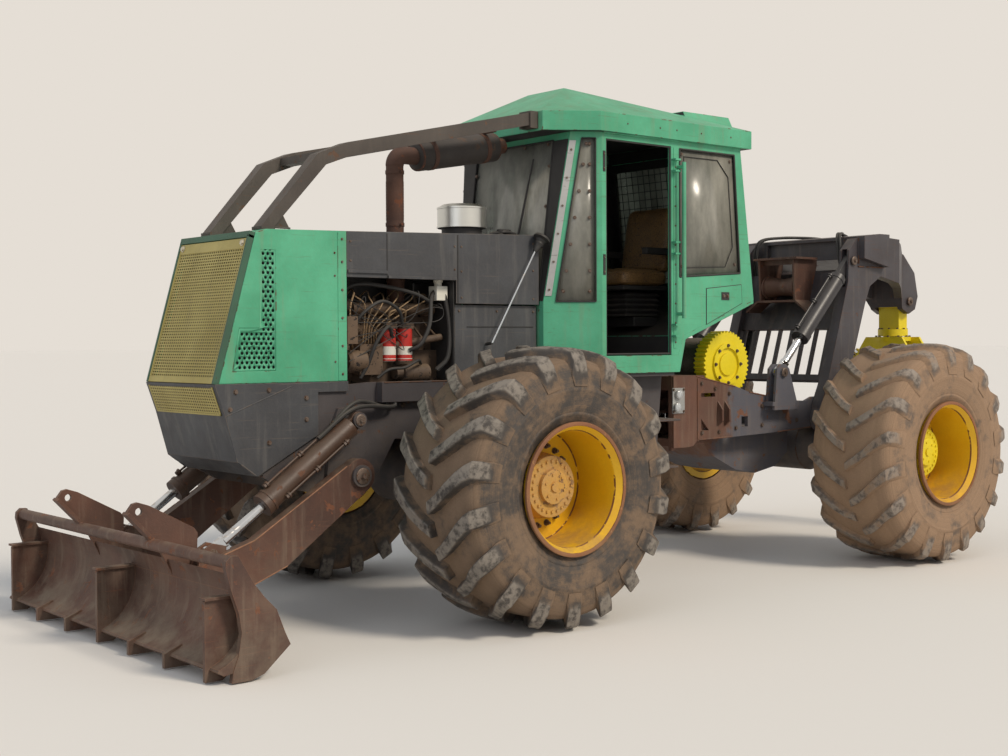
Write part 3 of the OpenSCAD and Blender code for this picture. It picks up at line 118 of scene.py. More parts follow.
def put(tree, kind, ins, out=0, **settings):
    """Adds a shader node with its settings, fills or links its inputs, and returns one of its outputs."""
    made = tree.nodes.new("ShaderNode" + kind)
    for key, value in settings.items():
        setattr(made, key, value)
    for key, value in ins.items():
        if isinstance(value, bpy.types.NodeSocket):
            tree.links.new(value, made.inputs[key])
        else:
            made.inputs[key].default_value = value
    return made.outputs[out] if made.outputs else made


def blank(name):
    """New node material and its empty tree."""
    made = bpy.data.materials.new(name)
    made.use_nodes = True
    made.node_tree.nodes.clear()
    return made, made.node_tree


def grain(tree, size_mm, detail=4.0, stretch=(1, 1, 1), warp=0.0, seed=0.0):
    """Noise whose features are size_mm across, in the part's own frame, from 0 to 1."""
    place = put(tree, "TexCoord", {}, "Object")
    moved = put(tree, "Mapping", {"Vector": place, "Location": (seed, seed * 0.7, seed * 1.3),
                                  "Scale": stretch})
    return put(tree, "TexNoise", {"Vector": moved, "Scale": 1000 / size_mm, "Detail": detail,
                                  "Roughness": 0.62, "Distortion": warp}, "Fac")


def soil_mask(tree, top, low, height):
    """Where dust and mud lie: on faces that look up, and below a height in metres."""
    up = put(tree, "SeparateXYZ", {0: put(tree, "NewGeometry", {}, "Normal")}, "Z")
    place = put(tree, "SeparateXYZ", {0: put(tree, "TexCoord", {}, "Object")}, "Z")
    dust = put(tree, "MapRange", {0: up, 1: 0.25, 2: 0.95, 4: top}, **SMOOTH)
    mud = put(tree, "MapRange", {0: place, 1: height + 0.35, 2: height - 0.45, 4: low}, **SMOOTH)
    patchy = put(tree, "MapRange", {0: grain(tree, 170, 6, seed=4.0), 1: 0.32, 2: 0.68}, **SMOOTH)
    laid = put(tree, "Math", {0: dust, 1: mud}, operation="ADD", use_clamp=True)
    return put(tree, "Math", {0: laid, 1: patchy}, operation="MULTIPLY")


def weathered(name, coat, faded, under, soil, wear=0.42, wear_mm=60, scratch=0.0, rough=0.5, metal=0.0,
              top=0.35, low=0.5, height=0.9, bump=0.35, streak=0.0, change=None):
    """Coat over metal: faded in patches, chipped down to what is under it, with soil on top and low down.

    change is a second coat and the place along the part behind which it lies, with a ragged edge.
    """
    material, tree = blank(name)
    fine = grain(tree, 14, 6, seed=2.0)
    tone = put(tree, "MapRange", {0: grain(tree, 520, 5, seed=1.0), 1: 0.30, 2: 0.72, 4: 0.9}, **SMOOTH)
    colour = put(tree, "Mix", {0: tone, 6: linear(coat), 7: linear(faded)}, 2, **COLOURS)
    if change:
        along = put(tree, "SeparateXYZ", {0: put(tree, "TexCoord", {}, "Object")}, "X")
        ragged = put(tree, "Math", {0: grain(tree, 90, 7, seed=9.0), 1: 0.35, 2: along},
                     operation="MULTIPLY_ADD")
        behind = put(tree, "MapRange", {0: ragged, 1: change[1] + 0.20, 2: change[1] + 0.14})
        colour = put(tree, "Mix", {0: behind, 6: colour, 7: linear(change[0])}, 2, **COLOURS)
    specks = put(tree, "Math", {0: fine, 1: 0.22}, operation="MULTIPLY")
    colour = put(tree, "Mix", {0: specks, 6: colour, 7: linear(under)}, 2, **COLOURS)
    chips = put(tree, "Math", {0: fine, 1: 0.10, 2: grain(tree, wear_mm, 9, warp=0.4, seed=3.0)},
                operation="MULTIPLY_ADD")
    chips = put(tree, "MapRange", {0: chips, 1: 0.98 - wear * 0.75, 2: 1.02 - wear * 0.75}, **SMOOTH)
    if scratch:
        lines = grain(tree, 60, 8, stretch=(0.16, 1.0, 5.0), warp=0.2, seed=5.0)
        lines = put(tree, "MapRange", {0: lines, 1: 0.61, 2: 0.66, 4: scratch}, **SMOOTH)
        chips = put(tree, "Math", {0: chips, 1: lines}, operation="MAXIMUM")
    if streak:
        runs = grain(tree, 60, 5, stretch=(1.0, 1.0, 0.09), seed=6.0)
        runs = put(tree, "MapRange", {0: runs, 1: 0.50, 2: 0.70, 4: streak}, **SMOOTH)
        colour = put(tree, "Mix", {0: runs, 6: colour, 7: linear(soil)}, 2, **COLOURS)
    rust = put(tree, "Mix", {0: fine, 6: linear(under), 7: linear(under, 0.45)}, 2, **COLOURS)
    colour = put(tree, "Mix", {0: chips, 6: colour, 7: rust}, 2, **COLOURS)
    dirt = soil_mask(tree, top, low, height)
    mud = put(tree, "Mix", {0: fine, 6: linear(soil), 7: linear(soil, 0.62)}, 2, **COLOURS)
    colour = put(tree, "Mix", {0: dirt, 6: colour, 7: mud}, 2, **COLOURS)
    gloss = put(tree, "Math", {0: grain(tree, 90, 5, seed=7.0), 1: 0.22, 2: rough}, operation="MULTIPLY_ADD")
    dull = put(tree, "Math", {0: chips, 1: dirt}, operation="MAXIMUM")
    gloss = put(tree, "Mix", {0: dull, 2: gloss, 3: 0.86})
    height_map = put(tree, "Math", {0: fine, 1: dirt}, operation="ADD")
    height_map = put(tree, "Math", {0: chips, 1: -0.6, 2: height_map}, operation="MULTIPLY_ADD")
    relief = put(tree, "Bump", {"Strength": bump, "Distance": 0.002, "Height": height_map})
    shader = put(tree, "BsdfPrincipled", {"Base Color": colour, "Roughness": gloss, "Normal": relief,
                                          "Metallic": metal})
    put(tree, "OutputMaterial", {"Surface": shader})
    return material


def chrome():
    """Hard chromed rod: a bright mirror with fine dust on it."""
    material, tree = blank("hard_chrome")
    dust = put(tree, "MapRange", {0: grain(tree, 40, 5, stretch=(0.4, 1, 1), seed=8.0), 1: 0.52, 2: 0.75},
               **SMOOTH)
    colour = put(tree, "Mix", {0: dust, 6: linear("#C9CDD2"), 7: linear("#A08F7C")}, 2, **COLOURS)
    rough = put(tree, "Mix", {0: dust, 2: 0.12, 3: 0.5})
    shader = put(tree, "BsdfPrincipled", {"Base Color": colour, "Roughness": rough, "Metallic": 1.0})
    put(tree, "OutputMaterial", {"Surface": shader})
    return material


def aluminium():
    """Spun aluminium of the pre-cleaner: a dull bright bowl with fine rings, and dust on its lid."""
    material, tree = blank("spun_aluminium")
    rings = grain(tree, 30, 4, stretch=(0.2, 0.2, 14), seed=9.0)
    dust = soil_mask(tree, 0.5, 0.0, 0.0)
    colour = put(tree, "Mix", {0: dust, 6: linear("#D3D4D0"), 7: linear("#9C9484")}, 2, **COLOURS)
    rough = put(tree, "Mix", {0: rings, 2: 0.24, 3: 0.44})
    relief = put(tree, "Bump", {"Strength": 0.15, "Distance": 0.002, "Height": rings})
    shader = put(tree, "BsdfPrincipled", {"Base Color": colour, "Roughness": rough, "Metallic": 1.0,
                                          "Normal": relief})
    put(tree, "OutputMaterial", {"Surface": shader})
    return material


def radiator_core():
    """Radiator behind the grille: black, with upright fins drawn 4 mm apart so that they show."""
    material, tree = blank("radiator_core_fins")
    across = put(tree, "SeparateXYZ", {0: put(tree, "TexCoord", {}, "Object")}, "Y")
    wave = put(tree, "Math", {0: across, 1: 2 * math.pi * 1000 / 4}, operation="MULTIPLY")
    wave = put(tree, "Math", {0: wave}, operation="SINE")
    dust = grain(tree, 80, 6, seed=14.0)
    colour = put(tree, "Mix", {0: dust, 6: linear("#0E0E0E"), 7: linear("#35302A")}, 2, **COLOURS)
    relief = put(tree, "Bump", {"Strength": 0.5, "Distance": 0.002, "Height": wave})
    shader = put(tree, "BsdfPrincipled", {"Base Color": colour, "Roughness": 0.7, "Normal": relief})
    put(tree, "OutputMaterial", {"Surface": shader})
    return material


def lamp_lens():
    """Pressed glass of a work lamp: pale and bright."""
    material, tree = blank("pressed_lamp_glass")
    haze = grain(tree, 12, 4, seed=15.0)
    colour = put(tree, "Mix", {0: haze, 6: linear("#C9CDD0"), 7: linear("#9A9B98")}, 2, **COLOURS)
    relief = put(tree, "Bump", {"Strength": 0.4, "Distance": 0.001, "Height": haze})
    shader = put(tree, "BsdfPrincipled", {"Base Color": colour, "Roughness": 0.12, "Normal": relief,
                                          "Coat Weight": 1.0})
    put(tree, "OutputMaterial", {"Surface": shader})
    return material


def seat_vinyl():
    """Cracked brown seat vinyl: leathery, polished where it is sat on, with dark creases 22 mm apart."""
    material, tree = blank("cracked_brown_vinyl")
    place = put(tree, "TexCoord", {}, "Object")
    cells = put(tree, "TexVoronoi", {"Vector": place, "Scale": 1000 / 22}, "Distance",
                feature="DISTANCE_TO_EDGE")
    cracks = put(tree, "MapRange", {0: cells, 1: 0.01, 2: 0.05}, **SMOOTH)
    tone = grain(tree, 130, 6, seed=11.0)
    colour = put(tree, "Mix", {0: tone, 6: linear("#5E452B"), 7: linear("#A07C4B")}, 2, **COLOURS)
    colour = put(tree, "Mix", {0: cracks, 6: linear("#3C2C1F"), 7: colour}, 2, **COLOURS)
    relief = put(tree, "Bump", {"Strength": 0.3, "Distance": 0.002, "Height": cracks})
    rough = put(tree, "Mix", {0: tone, 2: 0.4, 3: 0.66})
    shader = put(tree, "BsdfPrincipled", {"Base Color": colour, "Roughness": rough, "Normal": relief})
    put(tree, "OutputMaterial", {"Surface": shader})
    return material


def hazy_pane():
    """Scratched polycarbonate pane: milky grey, half clear, with dust streaks running down."""
    material, tree = blank("hazed_polycarbonate")
    haze = grain(tree, 300, 6, stretch=(1, 1, 0.35), seed=12.0)
    haze = put(tree, "MapRange", {0: haze, 1: 0.25, 2: 0.75}, **SMOOTH)
    share = put(tree, "Math", {0: grain(tree, 25, 6, seed=13.0), 1: 0.2, 2: haze}, operation="MULTIPLY_ADD")
    colour = put(tree, "Mix", {0: share, 6: linear("#6B6C65"), 7: linear("#A09D91")}, 2, **COLOURS)
    film = put(tree, "BsdfPrincipled", {"Base Color": colour, "Roughness": 0.24, "IOR": 1.58})
    clear = put(tree, "BsdfTransparent", {"Color": linear("#C9D2CC")})
    cover = put(tree, "Math", {0: share, 1: 0.30, 2: 0.58}, operation="MULTIPLY_ADD")
    put(tree, "OutputMaterial", {"Surface": put(tree, "MixShader", {0: cover, 1: clear, 2: film})})
    return material


def tyre_rubber(name, rubber, worn, clay, share, seed):
    """Natural rubber tread: dark, with lug faces scuffed pale and clay dried in the grooves and the sides."""
    material, tree = blank(name)
    middle = grain(tree, 45, 7, seed=seed + 1)
    fine = grain(tree, 7, 5, seed=seed + 2)
    depth = put(tree, "Attribute", {}, "Fac", attribute_name="groove")
    reach = put(tree, "Attribute", {}, "Fac", attribute_name="reach")
    # Scuffs that run round the tyre, 5 mm apart
    around = put(tree, "CombineXYZ", {0: reach, 1: put(tree, "Math", {0: middle, 1: 0.004},
                                                       operation="MULTIPLY")})
    scuffs = put(tree, "TexNoise", {"Vector": around, "Scale": 1000 / 5, "Detail": 3.0}, "Fac")
    scuffed = put(tree, "MapRange", {0: depth, 1: 0.35, 2: 0.0}, **SMOOTH)
    patches = put(tree, "MapRange", {0: middle, 1: 0.34, 2: 0.58}, **SMOOTH)
    scuffed = put(tree, "Math", {0: scuffed, 1: patches}, operation="MULTIPLY")
    colour = put(tree, "Mix", {0: scuffed, 6: linear(rubber), 7: linear(worn)}, 2, **COLOURS)
    cover = put(tree, "Mix", {0: 0.35, 2: grain(tree, 210, 7, warp=0.5, seed=seed), 3: middle})
    cover = put(tree, "Math", {0: depth, 1: 0.30, 2: cover}, operation="MULTIPLY_ADD")
    cover = put(tree, "Math", {0: scuffs, 1: 0.16, 2: cover}, operation="MULTIPLY_ADD")
    cover = put(tree, "MapRange", {0: cover, 1: 0.94 - share * 0.5, 2: 1.16 - share * 0.5}, **SMOOTH)
    tint = put(tree, "Mix", {0: 0.5, 2: fine, 3: scuffs})
    mud = put(tree, "Mix", {0: tint, 6: linear(clay, 1.1), 7: linear(clay, 0.32)}, 2, **COLOURS)
    colour = put(tree, "Mix", {0: cover, 6: colour, 7: mud}, 2, **COLOURS)
    bumps = put(tree, "Math", {0: cover, 1: 0.6, 2: fine}, operation="MULTIPLY_ADD")
    relief = put(tree, "Bump", {"Strength": 0.6, "Distance": 0.004, "Height": bumps})
    rough = put(tree, "Mix", {0: cover, 2: 0.62, 3: 0.95})
    shader = put(tree, "BsdfPrincipled", {"Base Color": colour, "Roughness": rough, "Normal": relief})
    put(tree, "OutputMaterial", {"Surface": shader})
    return material


def front_tyre_rubber():
    """Front tread: fresh lugs, pale where the ground scuffs them."""
    return tyre_rubber("front_tyre_rubber", "#3B3632", "#7D756B", "#89725C", 0.60, 20.0)


def rear_tyre_rubber():
    """Rear tread: worn lugs under a coat of orange clay."""
    return tyre_rubber("rear_tyre_rubber", "#554B43", "#8A7F73", "#A88A6E", 0.80, 30.0)


# Coats over metal and other worn surfaces, by the name of the finish
FINISHES = {
    # Sprayed alkyd enamel on sheet steel: chalky green, paler where the sun bleached it
    "green_enamel": dict(name="green_alkyd_enamel", coat="#3C9C75", faded="#58BA91", under="#6B4A36",
        soil="#7F8268", wear=0.30, wear_mm=90, scratch=0.25, rough=0.42, top=0.25, low=0.0, streak=0.25),
    # Dark satin enamel over the old hood: scuffed grey, scratched by limbs down to pale metal and primer
    "charcoal_enamel": dict(name="charcoal_enamel", coat="#2B2E33", faded="#42464B", under="#6A625C",
        soil="#736F69", wear=0.33, wear_mm=120, scratch=0.55, rough=0.44, top=0.4, low=0.15, height=1.0,
        streak=0.25),
    # Black chassis enamel on plate steel, rusting through, with grey dust on its ledges
    "frame_enamel": dict(name="frame_enamel", coat="#303237", faded="#484749", under="#5E4030",
        soil="#857564", wear=0.40, wear_mm=110, scratch=0.3, rough=0.50, top=0.55, low=0.5, height=1.0),
    # Thick blue-black enamel on the arch, grey in the sun and rubbed to rust by cable and limbs
    "arch_enamel": dict(name="arch_enamel", coat="#292B31", faded="#41454C", under="#6E4A36", soil="#6F6459",
        wear=0.36, wear_mm=80, scratch=0.35, rough=0.40, top=0.3, low=0.3, height=1.1, streak=0.3),
    # Old paint on the limb risers, gone to grey-brown scale and polished along the top
    "limb_riser_paint": dict(name="worn_riser_paint", coat="#34322F", faded="#4A4641", under="#6A503F",
        soil="#7B7064", wear=0.42, wear_mm=90, scratch=0.35, rough=0.48, top=0.2, low=0.0, streak=0.1),
    # Hot rolled plate, rusted brown and polished dark by soil, with blooms of orange
    "rusty_plate": dict(name="rusty_plate", coat="#3B2D29", faded="#5F4236", under="#85563E", soil="#8A7A68",
        wear=0.44, wear_mm=110, scratch=0.45, rough=0.46, metal=0.15, top=0.45, low=0.55, height=0.42,
        bump=0.7, streak=0.3),
    # Edges of the same plate, rubbed lighter
    "rusty_plate_edge": dict(name="rusty_plate_edge", coat="#74503A", faded="#8A6146", under="#A07A5E",
        soil="#8B7762", wear=0.5, wear_mm=30, rough=0.45, metal=0.25, top=0.3, low=0.3, height=0.35,
        bump=0.5),
    # Red oxide and rust on the rear frame's plates, blotched dark with oil and pale with dust
    "primer_brown": dict(name="red_oxide_frame", coat="#4A352D", faded="#604438", under="#7E5540",
        soil="#8A7A69", wear=0.42, wear_mm=120, scratch=0.25, rough=0.55, top=0.55, low=0.3, height=1.0,
        bump=0.5, streak=0.2),
    # The rear frame's plates: red oxide in front, and blue-grey enamel from the winch to the tail
    "rear_frame_paint": dict(name="rear_frame_paint", coat="#4E362C", faded="#6A4536", under="#7E5540",
        soil="#8A7A69", wear=0.42, wear_mm=120, scratch=0.25, rough=0.55, top=0.55, low=0.3, height=1.0,
        bump=0.5, streak=0.2, change=("#4B525C", tail(1180, 0, 0).x)),
    # Plated bolts, bright against the brass paint round them
    "brass_bolt": dict(name="plated_bolt", coat="#D8D4C8", faded="#B8B2A2", under="#8A7A58", soil="#857564",
        wear=0.22, wear_mm=14, rough=0.32, metal=0.8, top=0.1, low=0.0),
    # Olive gold enamel on pressed and perforated sheet, browned by rust between the holes
    "brass_paint": dict(name="brass_olive_paint", coat="#A29453", faded="#BFB06C", under="#6E5633",
        soil="#857A58", wear=0.34, wear_mm=70, rough=0.5, top=0.2, low=0.0, streak=0.2),
    # Green enamel darkened with painted shade, on the grille's rolled border, where the shell's front edge
    # lies in shadow
    "painted_shade_green_enamel": dict(name="painted_shade_green_enamel", coat="#27513F", faded="#34634D", under="#5C4634",
        soil="#75745F", wear=0.35, wear_mm=50, rough=0.45, top=0.2, low=0.0),
    # Bright yellow enamel inside a pressed rim, with clay dried along the bottom
    "wheel_enamel": dict(name="yellow_wheel_enamel", coat="#E2AE00", faded="#EFC51E", under="#7A4A2A",
        soil="#A97F55", wear=0.27, wear_mm=80, rough=0.36, top=0.5, low=0.25, height=0.65),
    # Bare rim flange against the tyre: rust brown with a scuffed bright lip
    "rim_rust": dict(name="rusted_rim_flange", coat="#6A4029", faded="#8C5A37", under="#A9794E",
        soil="#A98660", wear=0.45, wear_mm=25, rough=0.6, top=0.3, low=0.4, height=0.9, bump=0.7),
    # Planet hub coated in dried clay, with yellow enamel showing through
    "clay_hub": dict(name="clay_covered_hub", coat="#C79B3E", faded="#BD8E58", under="#94704C",
        soil="#C09D70", wear=0.48, wear_mm=45, rough=0.8, top=0.6, low=0.7, height=1.3, bump=1.0),
    # Fresh yellow enamel on castings, dark with grease in the corners
    "winch_enamel": dict(name="bright_yellow_enamel", coat="#E8D000", faded="#F4E132", under="#6B5426",
        soil="#8A7A48", wear=0.25, wear_mm=70, rough=0.38, top=0.25, low=0.25, height=0.9),
    # Yellow enamel on the grapple's plates, worn by logs to brown steel
    "tong_enamel": dict(name="worn_grapple_enamel", coat="#C9A820", faded="#D8BE3C", under="#5E4634",
        soil="#7E6B50", wear=0.52, wear_mm=90, scratch=0.3, rough=0.45, top=0.3, low=0.5, height=1.2),
    # Black enamel on honed tube, browned and oily
    "barrel_enamel": dict(name="cylinder_enamel", coat="#33271F", faded="#4C372B", under="#6E4A36",
        soil="#6E5D4B", wear=0.46, wear_mm=60, rough=0.34, top=0.3, low=0.2),
    # Black enamel on the arch's and grapple's cylinders, still glossy
    "black_barrel_enamel": dict(name="black_cylinder_enamel", coat="#1E1F22", faded="#303136",
        under="#50423A", soil="#635A50", wear=0.32, wear_mm=50, rough=0.28, top=0.25, low=0.1),
    # Rolled aluminium plate of the lamp brackets and the windscreen strip: grey, scratched and dusty
    "bright_plate": dict(name="rolled_aluminium_plate", coat="#A9ABAB", faded="#BFC0BE", under="#7A756C",
        soil="#8C8272", wear=0.3, wear_mm=40, scratch=0.4, rough=0.38, metal=0.7, top=0.4, low=0.2),
    # Plain and plated steel of bolts and fittings: brown-grey, rusted round the edges
    "bare_steel": dict(name="tarnished_fastener_steel", coat="#5B5048", faded="#7B7067", under="#6E4A34",
        soil="#7F7262", wear=0.5, wear_mm=14, rough=0.42, metal=0.55, top=0.2, low=0.3),
    # Greased wire rope on the drum: dark strands lying across the winding
    "wire_rope": dict(name="greased_wire_rope", coat="#4A443D", faded="#6A625A", under="#3A332B",
        soil="#6B5F50", wear=0.4, wear_mm=9, rough=0.45, metal=0.5, top=0.3, low=0.2, bump=0.8),
    # Cast iron under oil and tan dust: matt and mottled brown
    "engine_iron": dict(name="oily_cast_iron", coat="#4A3B2F", faded="#6E5843", under="#2B241F",
        soil="#8A755C", wear=0.45, wear_mm=40, rough=0.55, top=0.7, low=0.2, height=1.3, bump=0.9),
    # Injector and fuel pipes: drawn steel under tan dust
    "injector_steel": dict(name="dusty_fuel_pipe_steel", coat="#8A7357", faded="#A58A69", under="#4D3F33",
        soil="#9A8468", wear=0.4, wear_mm=20, rough=0.45, metal=0.35, top=0.5, low=0.0),
    # Red enamel on spin-on canisters
    "filter_enamel": dict(name="red_filter_enamel", coat="#B8211A", faded="#C93A2C", under="#4A2018",
        soil="#8A6A55", wear=0.2, wear_mm=30, rough=0.32, top=0.3, low=0.0),
    # Blow-moulded polythene of the coolant bottle: milky white, yellowed
    "milky_plastic": dict(name="milky_polythene", coat="#D9D6C8", faded="#E6E4DA", under="#A79C83",
        soil="#9C8E75", wear=0.25, wear_mm=30, rough=0.4, top=0.3, low=0.0),
    # Heat-scaled steel of the exhaust: dark brown with orange bloom and no gloss
    "hot_rust": dict(name="heat_scaled_steel", coat="#3E2F29", faded="#5C4033", under="#7C4A30",
        soil="#6F5C4B", wear=0.46, wear_mm=60, rough=0.72, top=0.2, low=0.0, bump=0.8),
    # Muffler shell: grey scale over brown
    "muffler_scale": dict(name="muffler_scale", coat="#272524", faded="#3A3735", under="#58463A",
        soil="#6F6459", wear=0.4, wear_mm=80, rough=0.6, top=0.2, low=0.0, bump=0.5),
    # Hydraulic hose cover: black rubber, greyed with dust
    "hose_rubber": dict(name="hose_rubber", coat="#1C1C1D", faded="#2C2B2A", under="#3A352F", soil="#6F6455",
        wear=0.3, wear_mm=30, rough=0.5, top=0.4, low=0.2),
    # Moulded black vinyl and plastic of the dash, roof lining and seat base, dusty; the same black also
    # stands as painted shade in the engine bay, the cab's hinge slots and latch recesses, and the access
    # panels' gaps
    "black_vinyl_and_shade": dict(name="black_vinyl_and_shade", coat="#1E1E1F", faded="#2E2D2C", under="#3B3836", soil="#6D6152",
        wear=0.2, wear_mm=40, rough=0.5, top=0.5, low=0.0),
}
# Edges of the same coats: the coat, its wear there and the name of the finish
EDGES = {
    # The same enamel on pressed edges, rubbed through to primer in places
    "green_enamel_edge": ("green_enamel", 0.50, "green_alkyd_enamel_edge"),
    # The same enamel on edges, worn brown
    "charcoal_enamel_edge": ("charcoal_enamel", 0.60, "charcoal_enamel_edge"),
    # The same enamel on plate edges, rusted along them
    "frame_enamel_edge": ("frame_enamel", 0.66, "frame_enamel_edge"),
    # The same enamel on the arch's edges, rusted through
    "arch_enamel_edge": ("arch_enamel", 0.68, "arch_enamel_edge"),
    # The same oxide on plate edges
    "primer_brown_edge": ("primer_brown", 0.64, "red_oxide_frame_edge"),
    # The same enamel on the rim's steps, rusted through
    "wheel_enamel_edge": ("wheel_enamel", 0.66, "yellow_wheel_enamel_edge"),
    # The same enamel on cast edges, chipped
    "winch_enamel_edge": ("winch_enamel", 0.5, "bright_yellow_enamel_edge"),
}
for edge_key, (edge_base, edge_wear, edge_name) in EDGES.items():
    FINISHES[edge_key] = dict(FINISHES[edge_base], wear=edge_wear, name=edge_name)
# Finishes with shaders of their own
SHADERS = {made.__name__: made for made in (chrome, aluminium, radiator_core, lamp_lens, seat_vinyl,
                                            hazy_pane, front_tyre_rubber, rear_tyre_rubber)}
# Materials made so far, by finish
MADE = {}


def finish(key):
    """The material of a finish, made once."""
    if key not in MADE:
        MADE[key] = SHADERS[key]() if key in SHADERS else weathered(**FINISHES[key])
    return MADE[key]


# Mesh tools


class Form:
    """Gathers many small solids, then makes one piece of them."""

    def __init__(self):
        self.bm = bmesh.new()

    def add(self, points, faces):
        made = [self.bm.verts.new(p) for p in points]
        for f in faces:
            self.bm.faces.new([made[i] for i in f])
        return made

    def box(self, low, high, seat=None):
        """Block between two corners, in a seat's own frame where there is one."""
        corners = [Vector((x, y, z))
                   for x in (low[0], high[0]) for y in (low[1], high[1]) for z in (low[2], high[2])]
        self.add([seat @ c for c in corners] if seat else corners,
                 [(0, 1, 3, 2), (4, 6, 7, 5), (0, 4, 5, 1), (2, 3, 7, 6), (0, 2, 6, 4), (1, 5, 7, 3)])

    def block(self, d, y, z, place=at):
        """Upright block between pairs of places along, across and up, in millimetres."""
        self.box(place(min(d), min(y), min(z)), place(max(d), max(y), max(z)))

    def ring(self, centre, out, across, radius, sides):
        return [centre + (out * math.cos(a) + across * math.sin(a)) * radius
                for a in (2 * math.pi * i / sides for i in range(sides))]

    def rings(self, rows, closed=False, caps=True):
        """Skin over rings of points that all have as many points."""
        made = [[self.bm.verts.new(p) for p in row] for row in rows]
        count = len(made[0])
        pairs = list(zip(made, made[1:])) + ([(made[-1], made[0])] if closed else [])
        for a, b in pairs:
            for i in range(count):
                j = (i + 1) % count
                self.bm.faces.new((a[i], a[j], b[j], b[i]))
        if caps and not closed:
            self.bm.faces.new(list(reversed(made[0])))
            self.bm.faces.new(made[-1])

    def prism(self, outline, rise):
        """Solid between an outline and the same outline moved by rise."""
        self.rings([[Vector(p) for p in outline], [Vector(p) + Vector(rise) for p in outline]])

    def rod(self, a, b, radius, sides=16, end_radius=None):
        """Round bar from a to b, straight or tapered."""
        a, b = Vector(a), Vector(b)
        along = (b - a).normalized()
        out = along.orthogonal().normalized()
        across = along.cross(out)
        self.rings([self.ring(a, out, across, radius, sides),
                    self.ring(b, out, across, radius if end_radius is None else end_radius, sides)])

    def lathe(self, outline, origin, axis, sides=40, closed=False):
        """Turned form about axis, from an outline of (radius, distance along it)."""
        origin, axis = Vector(origin), Vector(axis).normalized()
        out = axis.orthogonal().normalized()
        across = axis.cross(out)
        self.rings([self.ring(origin + axis * h, out, across, max(r, 1e-5), sides) for r, h in outline],
                   closed=closed)

    def band(self, origin, axis, radius, width, thick=0.004, sides=40):
        """Strap round a pipe or barrel."""
        half = width / 2
        self.lathe([(radius, -half), (radius + thick, -half), (radius + thick, half), (radius, half)],
                   origin, axis, sides, closed=True)

    def tube(self, points, radius, sides=10, steps=6, smooth=True):
        """Round tube along a smooth curve through the points, or along straight runs."""
        path = curve_through(points, steps) if smooth else [Vector(p) for p in points]
        rows, out = [], None
        for i, p in enumerate(path):
            along = (path[min(i + 1, len(path) - 1)] - path[max(i - 1, 0)]).normalized()
            if out is None:
                out = along.orthogonal().normalized()
            out = (out - along * out.dot(along)).normalized()
            rows.append(self.ring(p, out, along.cross(out), radius, sides))
        self.rings(rows)

    def loop(self, points, radius, sides=6):
        """Round bead along the straight sides of a closed outline."""
        for a, b in zip(points, points[1:] + points[:1]):
            self.rod(a, b, radius, sides)

    def hex_head(self, place, out, size, height):
        """Hexagon bolt head with a washer, standing on a face."""
        place, out = Vector(place), Vector(out).normalized()
        self.rod(place - out * height * 0.3, place + out * height * 0.25, size * 0.72, 14)
        self.rod(place, place + out * height, size * 0.56, 6)

    def bolts(self, places, out, size=0.012, height=0.009):
        for place in places:
            self.hex_head(place, out, size, height)

    def weld(self, a, b, radius=0.006, pitch=0.012, seed=1):
        """Weld bead: overlapping ripples from a to b."""
        rng = random.Random(seed)
        a, b = Vector(a), Vector(b)
        count = max(2, int((b - a).length / pitch))
        along = (b - a).normalized()
        out = along.orthogonal().normalized()
        across = along.cross(out)
        rows = [self.ring(a + (b - a) * i / count, out, across, radius * rng.uniform(0.8, 1.25), 6)
                for i in range(count + 1)]
        self.rings(rows)

    def side_bolts(self, y, spots, size, height, place=at):
        """Bolt heads on a face y millimetres to the side, at spots of (distance ahead, height)."""
        self.bolts([place(d, y, z) for d, z in spots], (0, math.copysign(1, y), 0), size, height)

    def side_weld(self, y, a, b, radius, pitch, seed, place=at):
        """Weld bead y millimetres to the side, between two spots of (distance ahead, height)."""
        self.weld(place(a[0], y, a[1]), place(b[0], y, b[1]), radius, pitch, seed)

    def piece(self, name, body, face, edge=None, bevel=0.0, smooth=True, replaced=(), across=None):
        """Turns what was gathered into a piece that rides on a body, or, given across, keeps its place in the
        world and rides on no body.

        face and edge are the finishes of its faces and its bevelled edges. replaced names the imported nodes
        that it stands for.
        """
        bmesh.ops.recalc_face_normals(self.bm, faces=self.bm.faces)
        mesh = bpy.data.meshes.new(name)
        self.bm.to_mesh(mesh)
        self.bm.free()
        made = bpy.data.objects.new(name, mesh)
        bpy.context.scene.collection.objects.link(made)
        mesh.materials.append(finish(face))
        if edge:
            mesh.materials.append(finish(edge))
        if smooth:
            mesh.shade_smooth()
            mesh.set_sharp_from_angle(angle=math.radians(35))
        if bevel:
            soften(made, bevel, 1 if edge else 0)
        if across:
            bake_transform(made)
        else:
            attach(made, body)
        if replaced:
            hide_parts(*replaced)
        return made


def soften(made, width, material, segments=2):
    """Bevels the sharp edges, with their own finish where there is one."""
    mod = made.modifiers.new("edge", "BEVEL")
    mod.width = width
    mod.segments = segments
    mod.limit_method = "ANGLE"
    mod.angle_limit = math.radians(32)
    mod.material = material
    mod.harden_normals = True
    return mod


def curve_through(points, steps):
    """Smooth path through the points, by the rule of Catmull and Rom."""
    pts = [Vector(p) for p in points]
    pts = [pts[0] * 2 - pts[1]] + pts + [pts[-1] * 2 - pts[-2]]
    path = []
    for a, b, c, d in zip(pts, pts[1:], pts[2:], pts[3:]):
        for k in range(steps):
            t = k / steps
            path.append(0.5 * ((2 * b) + (c - a) * t + (2 * a - 5 * b + 4 * c - d) * t * t
                               + (3 * b - a - 3 * c + d) * t ** 3))
    return path + [pts[-2]]


def face_seat(foot, head):
    """Frame on a sloping face: X across to the left, Y up the slope, Z out of the face."""
    foot, head = Vector(foot), Vector(head)
    across = Vector((0, 1, 0))
    up = (head - foot).normalized()
    out = across.cross(up)
    return Matrix.Translation(foot) @ Matrix((across, up, out)).transposed().to_4x4()


